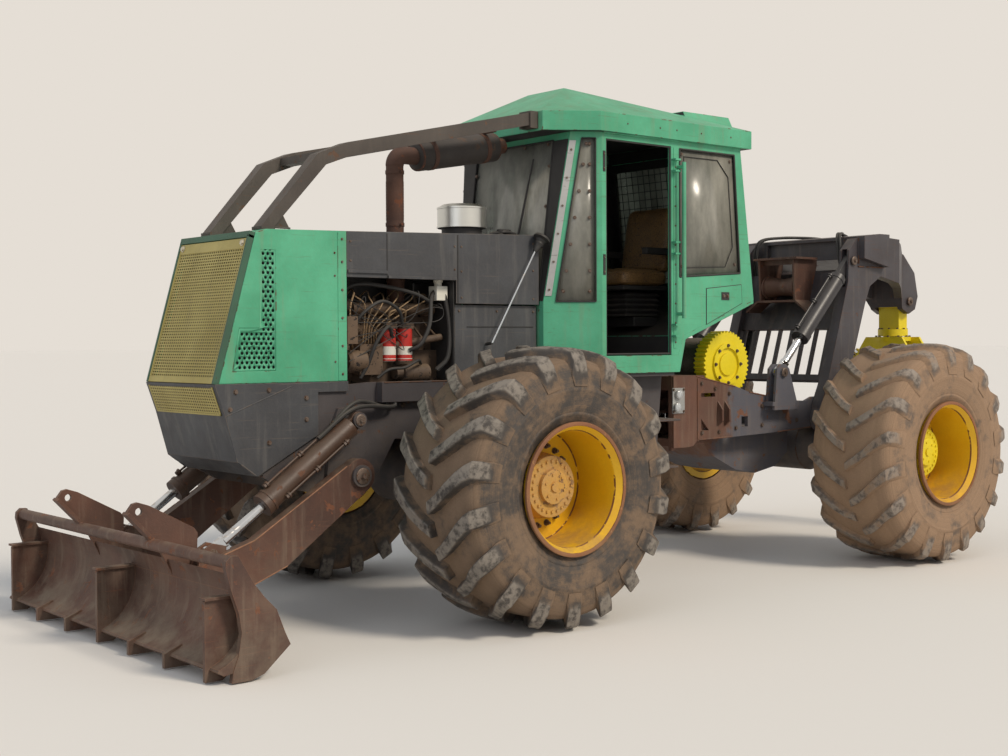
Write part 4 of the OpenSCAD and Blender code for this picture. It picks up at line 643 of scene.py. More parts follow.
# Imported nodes

# Finish of the faces, finish of the edges, edge width in metres
NODE_FINISH = {
    "front_frame": ("frame_enamel", "frame_enamel_edge", 0.005),
    "front_axle": ("frame_enamel", "frame_enamel_edge", 0.006),
    "nose_plates": ("charcoal_enamel", "charcoal_enamel_edge", 0.003),
    "grille_shell": ("green_enamel", "green_enamel_edge", 0.004),
    "side_vents": ("green_enamel", None, 0.0),
    "hood": ("charcoal_enamel", "charcoal_enamel_edge", 0.004),
    "engine": ("engine_iron", None, 0.006),
    "engine_dress": ("engine_iron", None, 0.003),
    "pre_cleaner": ("aluminium", None, 0.004),
    "exhaust": ("hot_rust", None, 0.003),
    "canopy_bars": ("limb_riser_paint", "rusty_plate_edge", 0.006),
    "cab_floor": ("green_enamel", "green_enamel_edge", 0.004),
    "cab_frame": ("green_enamel", "green_enamel_edge", 0.005),
    "cab_roof": ("green_enamel", "green_enamel_edge", 0.006),
    "cab_windows": ("hazy_pane", None, 0.0),
    "console": ("black_vinyl_and_shade", None, 0.006),
    "steps": ("frame_enamel", "frame_enamel_edge", 0.003),
    "grab_rail": ("green_enamel", None, 0.002),
    "door": ("green_enamel", "green_enamel_edge", 0.004),
    "blade_arms": ("rusty_plate", "rusty_plate_edge", 0.007),
    "blade": ("rusty_plate", "rusty_plate_edge", 0.006),
    "blade_barrels": ("barrel_enamel", None, 0.004),
    "blade_rods": ("chrome", None, 0.003),
    **{f"steer_barrel_{side}": ("barrel_enamel", None, 0.003) for side in SIDES},
    **{f"steer_rod_{side}": ("chrome", None, 0.002) for side in SIDES},
    "rear_frame": ("rear_frame_paint", "primer_brown_edge", 0.006),
    "rear_axle": ("frame_enamel", "frame_enamel_edge", 0.006),
    "winch": ("winch_enamel", "winch_enamel_edge", 0.006),
    "arch": ("arch_enamel", "arch_enamel_edge", 0.008),
    "arch_screen": ("arch_enamel", "arch_enamel_edge", 0.004),
    "fairlead": ("rusty_plate", "rusty_plate_edge", 0.004),
    "fairlead_roller": ("rusty_plate", None, 0.004),
    "arch_barrels": ("black_barrel_enamel", None, 0.004),
    "arch_rods": ("chrome", None, 0.003),
    "grapple_link": ("winch_enamel", "winch_enamel_edge", 0.006),
    "grapple_head": ("winch_enamel", "winch_enamel_edge", 0.006),
    **{f"tong_{side}": ("tong_enamel", "rusty_plate_edge", 0.005) for side in SIDES},
    "grip_barrel": ("black_barrel_enamel", None, 0.003),
    "grip_rod": ("chrome", None, 0.002),
    **{f"wheel_{axle}_{side}": ("wheel_enamel", "wheel_enamel_edge", 0.006)
       for axle in ("front", "rear") for side in SIDES},
}


def on_filter(c, n):
    """Whether a face lies on one of the two spin-on filters."""
    reach = min(math.hypot(c.x - at(d, 0, 0).x, c.y - 0.3) for d in FILTERS)
    return reach < FILTER_RADIUS and 1.499 < c.z < 1.6905


def faces_cab_inside(c, n):
    """Whether a face of the cab's shell looks at the middle of the cab."""
    sight = at(-1500, 0, 2200) - c
    return abs(c.y) < 0.671 and n.dot(sight) > 0.30 * sight.length


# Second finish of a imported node, and the faces that get it from their middle and normal
SECOND_FINISH = {
    "engine_dress": ("filter_enamel", on_filter),
    "pre_cleaner": ("black_vinyl_and_shade", lambda c, n: c.z < 2.3305),
    **{name: ("black_vinyl_and_shade", faces_cab_inside) for name in ("cab_frame", "cab_roof", "cab_floor", "door")},
    "rear_frame": ("bright_plate", lambda c, n: abs(c.y) > 0.4665 and 1.10 < c.z < 1.29
                   and -0.45 < c.x < -0.29),
}


def finish_node(name):
    """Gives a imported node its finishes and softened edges, its own mesh unchanged."""
    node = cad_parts[name]
    mesh = node.data
    face, edge, width = NODE_FINISH[name]
    mesh.materials.clear()
    mesh.materials.append(finish(face))
    mesh.materials.append(finish(edge or face))
    for p in mesh.polygons:
        p.material_index = 0
    if name in SECOND_FINISH:
        second, chosen = SECOND_FINISH[name]
        mesh.materials.append(finish(second))
        for p in mesh.polygons:
            if chosen(p.center, p.normal):
                p.material_index = 2
    custom = mesh.attributes.get("custom_normal")
    if custom:
        mesh.attributes.remove(custom)
    mesh.shade_smooth()
    weld = node.modifiers.new("weld", "WELD")
    weld.merge_threshold = 0.00002
    flat = node.modifiers.new("flat", "DECIMATE")
    flat.decimate_type = "DISSOLVE"
    flat.delimit = {"MATERIAL"}
    flat.angle_limit = math.radians(0.6)
    if width:
        soften(node, width, 1 if edge else -1)


# Tyres and wheels

# Axles by name: place on X and lug height
AXLES = {"front": (FRONT_AXLE_X, 0.058), "rear": (REAR_AXLE_X, 0.036)}
LUGS = 18
TYRE_R = 0.795
RIM_R = 0.370
# Carcass from the bead to the shoulder: radius beyond the rim, place across
SIDEWALL = [(-0.016, 0.300), (0.012, 0.318), (0.036, 0.328), (0.044, 0.3345), (0.052, 0.3355),
            (0.058, 0.3330), (0.075, 0.3400), (0.125, 0.3490), (0.168, 0.3510), (0.176, 0.3535),
            (0.186, 0.3535), (0.194, 0.3500), (0.240, 0.3440), (0.290, 0.3320)]
# Crown from the shoulder to the middle: depth below the tread's floor, place across
CROWN = [(0.045, 0.316), (0.022, 0.295), (0.010, 0.255), (0.004, 0.18), (0.0, 0.08)]
# Stations along a lug: place across, turn in lug steps, half thickness, drop below the tread's top
LUG_ROWS = [(0.006, 0.00, 0.036, 0.004), (0.080, 0.15, 0.037, 0.001), (0.160, 0.37, 0.040, 0.002),
            (0.235, 0.60, 0.043, 0.008), (0.290, 0.75, 0.046, 0.018), (0.325, 0.83, 0.048, 0.034),
            (0.345, 0.86, 0.048, 0.085), (0.3535, 0.87, 0.042, 0.135)]


def wheel_middle(axle, side):
    """Middle of a wheel, on the axle."""
    low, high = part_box(f"wheel_{axle}_{side}")
    return Vector((AXLES[axle][0], SIDES[side] * TRACK_HALF, (low.z + high.z) / 2))


def build_tyre(axle, side):
    """Tyre with curved lugs that climb from the middle of the tread over the shoulder."""
    lug_height = AXLES[axle][1]
    sign = SIDES[side]
    middle = wheel_middle(axle, side)
    rng = random.Random(sign * 7 + (3 if axle == "front" else 5))
    form = Form()
    groove = form.bm.verts.layers.float.new("groove")
    reach = form.bm.verts.layers.float.new("reach")
    step = 2 * math.pi / LUGS
    crown = TYRE_R - lug_height
    worn = axle == "rear"

    def place(radius, angle, across, along=0.0):
        ca, sa = math.cos(angle), math.sin(angle)
        return middle + Vector((radius * ca - along * sa, sign * across, radius * sa + along * ca))

    half = [(RIM_R + r, y) for r, y in SIDEWALL] + [(crown - d, y) for d, y in CROWN]
    profile = half + [(crown, 0.0)] + [(r, -y) for r, y in reversed(half)]
    turns = LUGS * 6
    rows = []
    for k in range(turns):
        row = []
        for r, y in profile:
            vert = form.bm.verts.new(place(r, 2 * math.pi * k / turns, y))
            vert[groove] = 1.0 if r > RIM_R + 0.3 else 0.55
            row.append(vert)
        rows.append(row)
    for a, b in zip(rows, rows[1:] + rows[:1]):
        for i in range(len(profile) - 1):
            form.bm.faces.new((a[i], a[i + 1], b[i + 1], b[i]))
    t_head, t_foot = (0.80, 1.25) if worn else (0.95, 1.15)
    for half_side in (1, -1):
        for i in range(LUGS):
            base = -math.pi / 2 + half_side * step / 4 + i * step
            made = []
            for across, turn, thick, drop in LUG_ROWS:
                chip = min(rng.uniform(-0.004, 0.004), 0.0) * (3.0 if worn else 1.0)
                top = TYRE_R - drop + chip
                foot = crown - 0.02 if across < 0.3 else top - 0.09
                lean = rng.uniform(-0.003, 0.003)
                ring = []
                for r, t, value in ((foot, -thick * t_foot, 0.8), (top - 0.007, -thick * t_head - 0.002, 0.2),
                                    (top, -thick * t_head + 0.006, 0.0), (top, thick * t_head - 0.006, 0.0),
                                    (top - 0.007, thick * t_head + 0.002, 0.2), (foot, thick * t_foot, 0.8)):
                    vert = form.bm.verts.new(place(r, base + turn * step, half_side * across, t + lean))
                    vert[groove] = value
                    ring.append(vert)
                made.append(ring)
            for a, b in zip(made, made[1:]):
                for k in range(6):
                    j = (k + 1) % 6
                    form.bm.faces.new((a[k], a[j], b[j], b[k]))
            form.bm.faces.new(made[0])
            form.bm.faces.new(list(reversed(made[-1])))
    for vert in form.bm.verts:
        flat = vert.co - middle
        flat.y = 0
        vert[reach] = flat.length
        vert.co += flat.normalized() * rng.uniform(-0.0012, 0.0)
    rubber = "rear_tyre_rubber" if worn else "front_tyre_rubber"
    return form.piece(f"{axle}_{side}_tyre_tread", f"{axle}_{side}_wheel", rubber,
                      replaced=(f"tyre_{axle}_{side}",))


def ring_places(middle, out, radius, along, count, turn=0.0):
    """Places evenly round an axle."""
    return [middle + out * along + Vector((radius * math.cos(a), 0, radius * math.sin(a)))
            for a in (turn + 2 * math.pi * i / count for i in range(count))]


def build_wheel_fittings(axle, side):
    """Rusted rim flange, the hub's cap with its bolts, the rim's bolts and the valve."""
    middle = wheel_middle(axle, side)
    out = Vector((0, SIDES[side], 0))
    body = f"{axle}_{side}_wheel"
    form = Form()
    form.lathe([(0.3515, 0.333), (0.3730, 0.333), (0.3735, 0.349), (0.3640, 0.3535), (0.3515, 0.3515)],
               middle, out, sides=96, closed=True)
    form.piece(f"{axle}_{side}_rim_flange", body, "rim_rust")
    form = Form()
    form.lathe([(0.187, -0.016), (0.1875, 0.041), (0.1735, 0.131), (0.160, 0.1338), (0.150, 0.1335),
                (0.100, 0.1345), (0.0975, 0.1575), (0.085, 0.160), (0.030, 0.160), (0.028, 0.170),
                (0.0, 0.171)], middle, out, sides=72)
    for place in ring_places(middle, out, 0.143, 0.133, 24):
        form.hex_head(place, out, 0.014, 0.010)
    for place in ring_places(middle, out, 0.070, 0.159, 6, 0.3):
        form.hex_head(place, out, 0.012, 0.008)
    form.piece(f"{axle}_{side}_hub_cap", body, "clay_hub" if axle == "front" else "winch_enamel")
    form = Form()
    for place in ring_places(middle, out, 0.232, 0.003, 20):
        form.hex_head(place, out, 0.026, 0.020)
        form.rod(place, place + out * 0.034, 0.009, 10)
    valve = middle + Vector((0.300, 0, 0.05)) + out * 0.004
    form.tube([valve, valve + out * 0.03, valve + out * 0.06 + Vector((0.012, 0, 0))], 0.006, 8)
    form.piece(f"{axle}_{side}_rim_bolts", body, "bare_steel")


# Nose, hood and engine bay

# Bars of the grille's sheet, in metres
BAR_PITCH = 0.0244
ROW_PITCH = 0.0170


def hood_top(d):
    """Height of the hood's top at a distance ahead of the front axle, in millimetres."""
    return 2248 + 41 * (776 - d) / 1466


def build_grille():
    """Perforated grille sheet with its header and band, its border in green darkened by painted shade, and
    the core behind it.
    """
    seat = face_seat(at(1632, 0, 1386), at(1404, 0, 2200))
    chin = face_seat(at(1572, 0, 1218), at(1632, 0, 1388))
    height = 0.8453
    form = Form()
    for i in range(31):
        y = -0.366 + BAR_PITCH * i
        form.box((y - 0.006, 0.036, -0.0060), (y + 0.006, height - 0.070, -0.0035), seat)
        form.box((y - 0.006, 0.008, 0.0010), (y + 0.006, 0.160, 0.0040), chin)
    for j in range(45):
        v = 0.040 + ROW_PITCH * j
        form.box((-0.372, v - 0.004, -0.0055), (0.372, v + 0.004, -0.0030), seat)
    for j in range(9):
        v = 0.016 + ROW_PITCH * j
        form.box((-0.366, v - 0.004, 0.0015), (0.366, v + 0.004, 0.0045), chin)
    # Header, band at the split and the sheet's side flanges
    form.box((-0.372, height - 0.076, -0.008), (0.372, height - 0.018, 0.0), seat)
    form.box((-0.372, 0.006, -0.008), (0.372, 0.040, 0.001), seat)
    form.box((-0.378, 0.0, 0.0008), (0.378, 0.010, 0.006), chin)
    for s in (-1, 1):
        form.box((s * 0.372 - 0.006, 0.006, -0.012), (s * 0.372 + 0.006, height - 0.018, 0.0015), seat)
        form.box((s * 0.372 - 0.006, 0.0, 0.0008), (s * 0.372 + 0.006, 0.165, 0.006), chin)
    form.piece("grille_mesh", FRONT, "brass_paint", bevel=0.0008, smooth=False,
               replaced=("grille",))
    form = Form()
    form.bolts([seat @ Vector((s * 0.345, height - 0.045, 0.001)) for s in (-1, 1)],
               seat.to_3x3() @ Vector((0, 0, 1)), 0.026, 0.012)
    form.piece("grille_bolts", FRONT, "brass_bolt")
    # Border round the sheet, in green darkened by painted shade where the shell's front edge lies in shadow
    form = Form()
    for s in (-1, 1):
        form.box((s * 0.3885 - 0.0095, 0.004, -0.030), (s * 0.3885 + 0.0095, height + 0.004, 0.005), seat)
    form.box((-0.398, height - 0.014, -0.030), (0.398, height + 0.022, 0.005), seat)
    form.piece("grille_border", FRONT, "painted_shade_green_enamel", bevel=0.002)
    form = Form()
    form.box((-0.386, 0.010, -0.066), (0.386, height - 0.006, -0.048), seat)
    form.box((-0.386, 0.0, -0.0095), (0.386, 0.165, -0.0015), chin)
    form.piece("radiator_core", FRONT, "radiator_core")
    form = Form()
    for s in (-1, 1):
        form.block((1226, 1530), (s * 377, s * 381), (1440, 1706))
        form.block((1226, 1362), (s * 377, s * 381), (1700, 2140))
    form.piece("vent_screens", FRONT, "black_vinyl_and_shade")


def build_nose_trim():
    """Bolted strip at the shell's rear, bolts and the fold of the side plates, and the risers' gussets."""
    shell, bolts, fold, gusset = Form(), Form(), Form(), Form()
    for s in (-1, 1):
        y = s * HOOD
        corners = ((780, 1392), (838, 1392), (838, hood_top(838) - 6), (780, hood_top(780) - 6))
        shell.prism([at(d, y, z) for d, z in corners], (0, s * 0.0035, 0))
        bolts.side_bolts(y + s * 3.5, [(810, z) for z in (1430, 1590, 1750, 1910, 2070, 2200)], 0.011, 0.006)
        bolts.side_bolts(y, [(858, z) for z in (1500, 1990, 2120)], 0.009, 0.005)
        plate = s * NOSE_PLATE
        bolts.side_bolts(plate, ((1506, 1345), (1540, 1250), (1060, 1300), (1300, 1350), (1060, 1180),
                                 (1300, 1060)), 0.020, 0.010)
        fold.side_weld(plate, (1565, 1215), (1150, 1370), 0.003, 0.014, 4)
        fold.side_weld(plate, (1496, 965), (1380, 880), 0.004, 0.012, 5)
        # Gusset at the foot of the limb riser, and its bead
        foot = s * 296
        corners = ((1240, 2250), (1090, 2250), (1152, 2358))
        gusset.prism([at(d, foot - 5, z) for d, z in corners], (0, 0.010, 0))
        fold.side_weld(foot + 6, (1240, 2254), (1090, 2254), 0.005, 0.012, 6)
    shell.piece("shell_rear_strip", FRONT, "green_enamel", "green_enamel_edge", 0.0015)
    bolts.piece("nose_bolts", FRONT, "bare_steel")
    fold.piece("nose_welds", FRONT, "charcoal_enamel_edge")
    gusset.piece("riser_gussets", FRONT, "limb_riser_paint", "rusty_plate_edge", 0.002)


def build_hood_trim():
    """Seams, stiffened lips and bolts of the hood, and the caps and the grip on its top."""
    seams, lips, bolts = Form(), Form(), Form()
    for s in (-1, 1):
        y = s * HOOD
        seam, lip = (y + s * 0.4, y + s * 2.2), (y, y + s * 12)
        seams.block((-36, -28), seam, (1845, hood_top(-32) - 10))
        seams.block((490, 496), seam, (BAY_LIP, hood_top(493) - 10))
        lips.block((-18, 490), lip, (1984, 2000))
        lips.block((496, 772), lip, (2010, 2028))
        rows = {-60: (1880, 2040, 2190), -8: (2050, 2190), -640: (1880, 2060, 2230), 750: (2080, 2190)}
        bolts.side_bolts(y, [(d, z) for d, heights in rows.items() for z in heights], 0.010, 0.005)
        # Seam and bolts of the panel low on the rear side
        plate = s * (HOOD - 26)
        seams.block((-660, -120), (plate, plate + s * 4), (1700, 1706))
        bolts.side_bolts(plate, [(d, z) for d in (-660, -360, -60) for z in (1420, 1800)], 0.012, 0.006)
    seams.piece("hood_seams", FRONT, "black_vinyl_and_shade")
    lips.piece("hood_lips", FRONT, "charcoal_enamel", "charcoal_enamel_edge", 0.0015)
    bolts.piece("hood_bolts", FRONT, "bare_steel")
    form = Form()
    for k, d in enumerate((-498, -540, -582)):
        foot = at(d, 245 - 14 * k, hood_top(d))
        form.lathe([(0.0, -0.004), (0.024, -0.004), (0.026, 0.010), (0.018, 0.016), (0.022, 0.030),
                    (0.022, 0.042), (0.0, 0.046)], foot, (0, 0, 1), 24)
    form.tube([at(-440, 210, hood_top(-440) + 12), at(-520, 260, hood_top(-520) + 26),
               at(-640, 225, hood_top(-640) + 14)], 0.012, 10)
    form.piece("hood_top_caps", FRONT, "black_vinyl_and_shade")


def build_bay():
    """Black walls at the engine bay's two ends and a black plate down its middle, painted shade that keeps
    light from showing through the bay, and the manifold, cooler, starter and brackets on the engine's left.
    """
    # Walls and middle plate in black, as painted shade inside the bay
    form = Form()
    for d in (-14, 768):
        form.block((d, d + 6), (-385, 385), (1384, 1980))
    form.block((0, 762), (-30, -20), (1795, 2215))
    form.piece("bay_shade_walls", FRONT, "black_vinyl_and_shade")
    form = Form()
    # Intake manifold on the heads, oil cooler, starter, alternator and brackets
    form.rod(at(20, 205, 1812), at(620, 205, 1812), 0.036, 24)
    form.rod(at(640, 205, 1812), at(700, 205, 1880), 0.034, 20)
    for d in INJECTORS:
        form.block((d - 52, d), (90, 215), (1770, 1822))
        form.rod(at(d, 120, 1835), at(d, 120, 1880), 0.014, 12)
    form.lathe([(0.0, -0.07), (0.052, -0.07), (0.066, -0.05), (0.066, 0.05), (0.052, 0.07), (0.020, 0.07),
                (0.020, 0.095), (0.046, 0.096), (0.046, 0.112), (0.0, 0.113)],
               at(655, 300, 1500), (1, 0, 0), 32)
    form.rod(at(110, 262, 1425), at(300, 262, 1425), 0.054, 28)
    form.rod(at(300, 262, 1425), at(350, 262, 1425), 0.038, 24)
    for d, z in ((150, 1560), (560, 1640), (600, 1700), (220, 1660)):
        form.block((d, d + 55), (150, 250), (z, z + 50))
        form.hex_head(at(d + 28, 250, z + 25), (0, 1, 0), 0.020, 0.014)
    form.block((690, 764), (300, 384), (1600, 1760))
    form.piece("engine_fittings", FRONT, "engine_iron", bevel=0.003)


def build_bay_lines():
    """Pipes from the pump over the heads, each to its own injector, and the bay's hoses and wires."""
    form = Form()
    for i, d in enumerate(INJECTORS):
        pump, rise = 500 + 20 * i, 1905 + 10 * (i % 3)
        form.tube([at(pump, 296, 1604), at(pump, 318, 1680 + 12 * i),
                   at(d + (pump - d) * 0.55, 322, 1790 + 9 * i), at(d + 40, 285, rise - 40), at(d, 200, rise),
                   at(d, 120, 1882)], 0.0042, 8, 7)
    form.tube([at(420, 300, 1724), at(420, 330, 1790), at(330, 345, 1800), at(300, 300, 1724)], 0.006, 8)
    form.tube([at(640, 250, 1560), at(700, 330, 1640), at(716, 340, 1800), at(660, 300, 1900)], 0.006, 8)
    form.piece("injector_pipes", FRONT, "injector_steel")
    form = Form()
    # Hoses: radius, and the places that each runs through
    for radius, *run in (
            (0.013, (300, 346, 1560), (240, 385, 1600), (170, 380, 1720), (120, 330, 1880), (60, 300, 1925)),
            (0.011, (420, 346, 1640), (480, 386, 1700), (560, 384, 1610), (600, 350, 1480), (640, 330, 1400)),
            (0.015, (20, 330, 1905), (-2, 350, 1700), (20, 360, 1520), (90, 340, 1440)),
            (0.010, (700, 340, 1700), (640, 384, 1790), (520, 388, 1850), (400, 380, 1800), (350, 350, 1720)),
            (0.012, (740, 250, 1900), (640, 300, 1950), (460, 330, 1940), (250, 340, 1900), (120, 330, 1850)),
            (0.009, (180, 300, 1480), (260, 380, 1500), (360, 386, 1460), (470, 384, 1450),
             (540, 360, 1400))):
        form.tube([at(*p) for p in run], radius, 10, 8)
    form.piece("bay_hoses", FRONT, "hose_rubber")
    form = Form()
    rng = random.Random(12)
    for k in range(9):
        d, z = rng.uniform(30, 700), rng.uniform(1500, 1900)
        form.tube([at(d, 250, z),
                   at(d + rng.uniform(-80, 80), 340 + rng.uniform(0, 40), z + rng.uniform(-60, 90)),
                   at(d + rng.uniform(-160, 160), 350, z + rng.uniform(-120, 60)),
                   at(740, 360, 1500 + 45 * k)],
                  0.0028, 6, 8)
    form.piece("bay_wires", FRONT, "black_vinyl_and_shade")


def build_bay_fittings():
    """Coolant bottle, the bands of the spin-on filters, and the stay beside the hood."""
    form = Form()
    form.block((5, 88), (262, 345), (1862, 1950))
    form.lathe([(0.0, 0.0), (0.024, 0.0), (0.024, 0.024), (0.030, 0.024), (0.030, 0.044), (0.0, 0.046)],
               at(48, 304, 1950), (0, 0, 1), 24)
    form.piece("coolant_bottle", FRONT, "milky_plastic", bevel=0.008)
    form = Form()
    for d in FILTERS:
        form.lathe([(0.0, -0.003), (0.040, -0.003), (FILTER_RADIUS, 0.010), (FILTER_RADIUS, 0.014),
                    (0.0462, 0.014)],
                   at(d, 300, 1500), (0, 0, 1), 32)
        form.band(at(d, 300, 1560), (0, 0, 1), 0.0455, 0.05, 0.0012, 32)
    form.piece("filter_bands", FRONT, "milky_plastic")
    # Stay between the cab's corner and the frame, in its rubber boot
    form = Form()
    form.rod(at(-620, 450, 2192), at(-266, 440, 1602), 0.0065, 12)
    form.piece("stay_rod", FRONT, "chrome")
    form = Form()
    foot, head = at(-668, 452, 2262), at(-600, 448, 2158)
    form.lathe([(0.0, -0.014), (0.052, -0.010), (0.056, 0.004), (0.036, 0.014), (0.028, 0.030),
                (0.030, 0.042), (0.021, 0.060), (0.022, 0.072), (0.013, 0.100), (0.0, 0.104)], foot,
                head - foot, 28)
    form.rod(at(-668, 452, 2262), at(-700, 425, 2262), 0.012, 12)
    form.rod(at(-266, 440, 1602), at(-266, 385, 1596), 0.010, 12)
    form.piece("stay_boot", FRONT, "hose_rubber")


def build_exhaust():
    """Skin and straps of the muffler, clamps of the pipe, and the pre-cleaner's seams and clamp."""
    form = Form()
    head, outlet = MUFFLER
    run = (outlet - head).length
    form.lathe([(0.054, -0.012), (0.080, -0.004), (MUFFLER_RADIUS, 0.010), (MUFFLER_RADIUS, run - 0.010),
                (0.080, run + 0.004), (0.052, run + 0.014)], head, outlet - head, 56)
    form.piece("muffler_skin", FRONT, "muffler_scale")
    form = Form()
    along = (outlet - head).normalized()
    for share in (0.16, 0.84):
        place = head + along * run * share
        form.band(place, along, MUFFLER_RADIUS, 0.032, 0.003, 56)
        form.box((place.x - 0.014, 0.095, place.z + 0.090), (place.x + 0.014, 0.240, place.z + 0.104))
    for z in (1990, 2330, 2650):
        form.band(at(220, 100, z), (0, 0, 1), 0.054, 0.022, 0.004, 40)
        form.bolts([at(220, 158, z)], (0, 1, 0), 0.012, 0.016)
    # Coils of the flexible pipe
    for i in range(26):
        form.band(at(220, 100, 2360 + 9.2 * i), (0, 0, 1), 0.0535, 0.005, 0.0022, 36)
    form.piece("exhaust_straps", FRONT, "hot_rust")
    form = Form()
    form.lathe([(0.1552, 0.004), (0.1585, 0.004), (0.1585, 0.012), (0.1552, 0.012)], PRE_CLEANER, (0, 0, 1),
               72, closed=True)
    form.lathe([(0.1545, 0.120), (0.1580, 0.122), (0.1580, 0.132), (0.1500, 0.136), (0.1450, 0.130)],
               PRE_CLEANER, (0, 0, 1), 72, closed=True)
    form.rod(at(-300, 100, 2481), at(-300, 100, 2490), 0.012, 16)
    form.piece("pre_cleaner_beads", FRONT, "aluminium")


# Cab

# Square mesh of the back window's guard, in millimetres
MESH_PITCH = 59
# Sewn channels across the seat
CHANNELS = (-0.15, -0.075, 0.0, 0.075, 0.15)


def corner_x(z):
    """Place of the windscreen's face ahead of the front axle at a height, in millimetres."""
    return -700 - 0.129 * (z - 1862)


def corner_y(z):
    """Distance from the middle to the cab's front corner at a height, in millimetres."""
    return 430 - 0.767 * (corner_x(z) + 700)


def screen_trim(gasket, bolts):
    """Gasket and bolts of the windscreen, and its wiper."""
    screen = [at(corner_x(z) + 5, y, z) for y, z in ((-388, 1864), (388, 1864), (388, 2904), (-388, 2904))]
    gasket.loop(screen, 0.006)
    lean = (1, 0, 0.13)
    bolts.bolts([at(corner_x(2885) + 4, y, 2885) for y in (-340, -110, 110, 340)], lean, 0.016, 0.009)
    bolts.bolts([at(corner_x(z) + 4, y, z) for y in (-372, 372) for z in (1960, 2220, 2480, 2740)],
                lean, 0.016, 0.009)
    # Wiper with its arm over the screen
    gasket.tube([at(corner_x(1900) + 22, 60, 1900), at(corner_x(2300) + 24, 150, 2300),
                 at(corner_x(2620) + 14, 190, 2620)], 0.005, 8)
    gasket.rod(at(corner_x(2250) + 12, 120, 2250), at(corner_x(2800) + 12, 215, 2800), 0.006, 8)
    gasket.rod(at(corner_x(1900) - 2, 60, 1900), at(corner_x(1900) + 30, 60, 1900), 0.020, 16)


def window_trim(s, gasket, strip, bolts):
    """Gaskets and bolts of one side's windows, the screen's border, and the strip over the corner post."""
    # Rear side window: outer gasket, and an inner line with cut corners
    outline = [at(d, s * CAB, z) for d, z in ((-1720, 2040), (-1720, 2896), (-2271, 2896), (-2333, 2080))]
    gasket.loop(outline, 0.007)
    inner = [at(d, s * 649, z) for d, z in ((-1775, 2100), (-1775, 2850), (-2110, 2850), (-2222, 2740),
                                            (-2268, 2260), (-2190, 2120))]
    gasket.loop(inner, 0.0032)
    bolts.side_bolts(s * 646, ((-1752, 2864), (-1750, 2110), (-2240, 2850), (-2290, 2140)), 0.016, 0.009)
    # Angled side-front window with bolts down both edges
    out = Vector((0.61, 0.79 * s, 0))
    edge = [at(d, s * y, z) + out * 0.004
            for d, y, z in ((-764, 479, 1864), (-968, 635, 1864), (-968, 635, 2904), (-897, 581, 2904))]
    gasket.loop(edge, 0.005)
    for z in (1930, 2060, 2230, 2400, 2570, 2740, 2870):
        front = corner_x(z) - 92
        share = (-700 - front) / 300
        spots = at(front, s * (430 + 230 * share), z), at(-938, s * 612, z)
        bolts.bolts([spot - out * 0.012 for spot in spots], out, 0.016, 0.010)
    # Black border of the screen up to the cab's corner
    border = [(394, 1868), (corner_y(1868) - 4, 1868), (corner_y(2900) - 4, 2900), (394, 2900)]
    gasket.prism([at(corner_x(z) + 1, s * y, z) for y, z in border], (0.004, 0, 0.0005))
    # Pale strip over the corner post, between its two edges, with bolts down its middle
    ends = []
    for z in (1900, 2890):
        corner = at(corner_x(z), s * corner_y(z), z) + out * 0.001
        ends.append([corner + Vector((-0.794, 0.608 * s, 0)) * run for run in (0.003, 0.046)])
    (foot_a, foot_b), (head_a, head_b) = ends
    strip.prism([foot_a, foot_b, head_b, head_a], out * 0.003)
    for share in (0.04, 0.22, 0.40, 0.58, 0.76, 0.94):
        spot = foot_a.lerp(head_a, share).lerp(foot_b.lerp(head_b, share), 0.5)
        bolts.hex_head(spot, out, 0.014, 0.009)


def shell_trim(s, bolts, dark, panel, rail):
    """Hinge slots and latch recess filled with painted shade, access panel with a painted shadow in its gap,
    drip rail, striker plate and door seal of one side.
    """
    # Black blocks as painted shade in the slots of the missing hinges on the front post
    for z0, z1 in ((2694, 2826), (2034, 2166)):
        dark.block((-1030, -1008), (s * 659.5, s * 662.5), (z0, z1))
        bolts.side_bolts(s * 662, [(-1019, z) for z in (z0 + 20, z1 - 20)], 0.010, 0.006)
    # Access panel low on the side, with a black bead as painted shadow in its gap, and its latch, whose
    # recess is a black block of painted shade
    corners = [(-1985, 1966), (-2345, 2000), (-2352, 1872), (-1985, 1722)]
    panel.prism([at(d, s * CAB, z) for d, z in corners], (0, s * 0.004, 0))
    gap = [at(d, s * (CAB + 1.2), z) for d, z in corners]
    dark.loop(gap, 0.0035)
    dark.block((-2215, -2135), (s * 664, s * 667), (1890, 1945))
    bolts.side_bolts(s * 667, ((-2155, 1918), (-2195, 1918)), 0.020, 0.008)
    # Drip rail over the doorway, and the roof rim's rivets
    rail.block((-1700, -1004), (s * CAB, s * 676), (2938, 2946))
    bolts.side_bolts(s * 694, [(d, 3010) for d in (-1200, -1500, -1660, -1900, -2200)], 0.008, 0.004)
    # Worn striker plates down the rear post of the doorway
    rail.block((-1690, -1660), (s * CAB, s * 663.5), (1560, 2900))
    bolts.side_bolts(s * 664, [(-1676, z) for z in range(1600, 2900, 130)], 0.009, 0.005)
    # Doorway's rubber seal
    seal = [at(d, s * 652, z) for d, z in ((-1042, 1526), (-1042, 2900), (-1634, 2900), (-1634, 1526))]
    dark.loop(seal, 0.006)


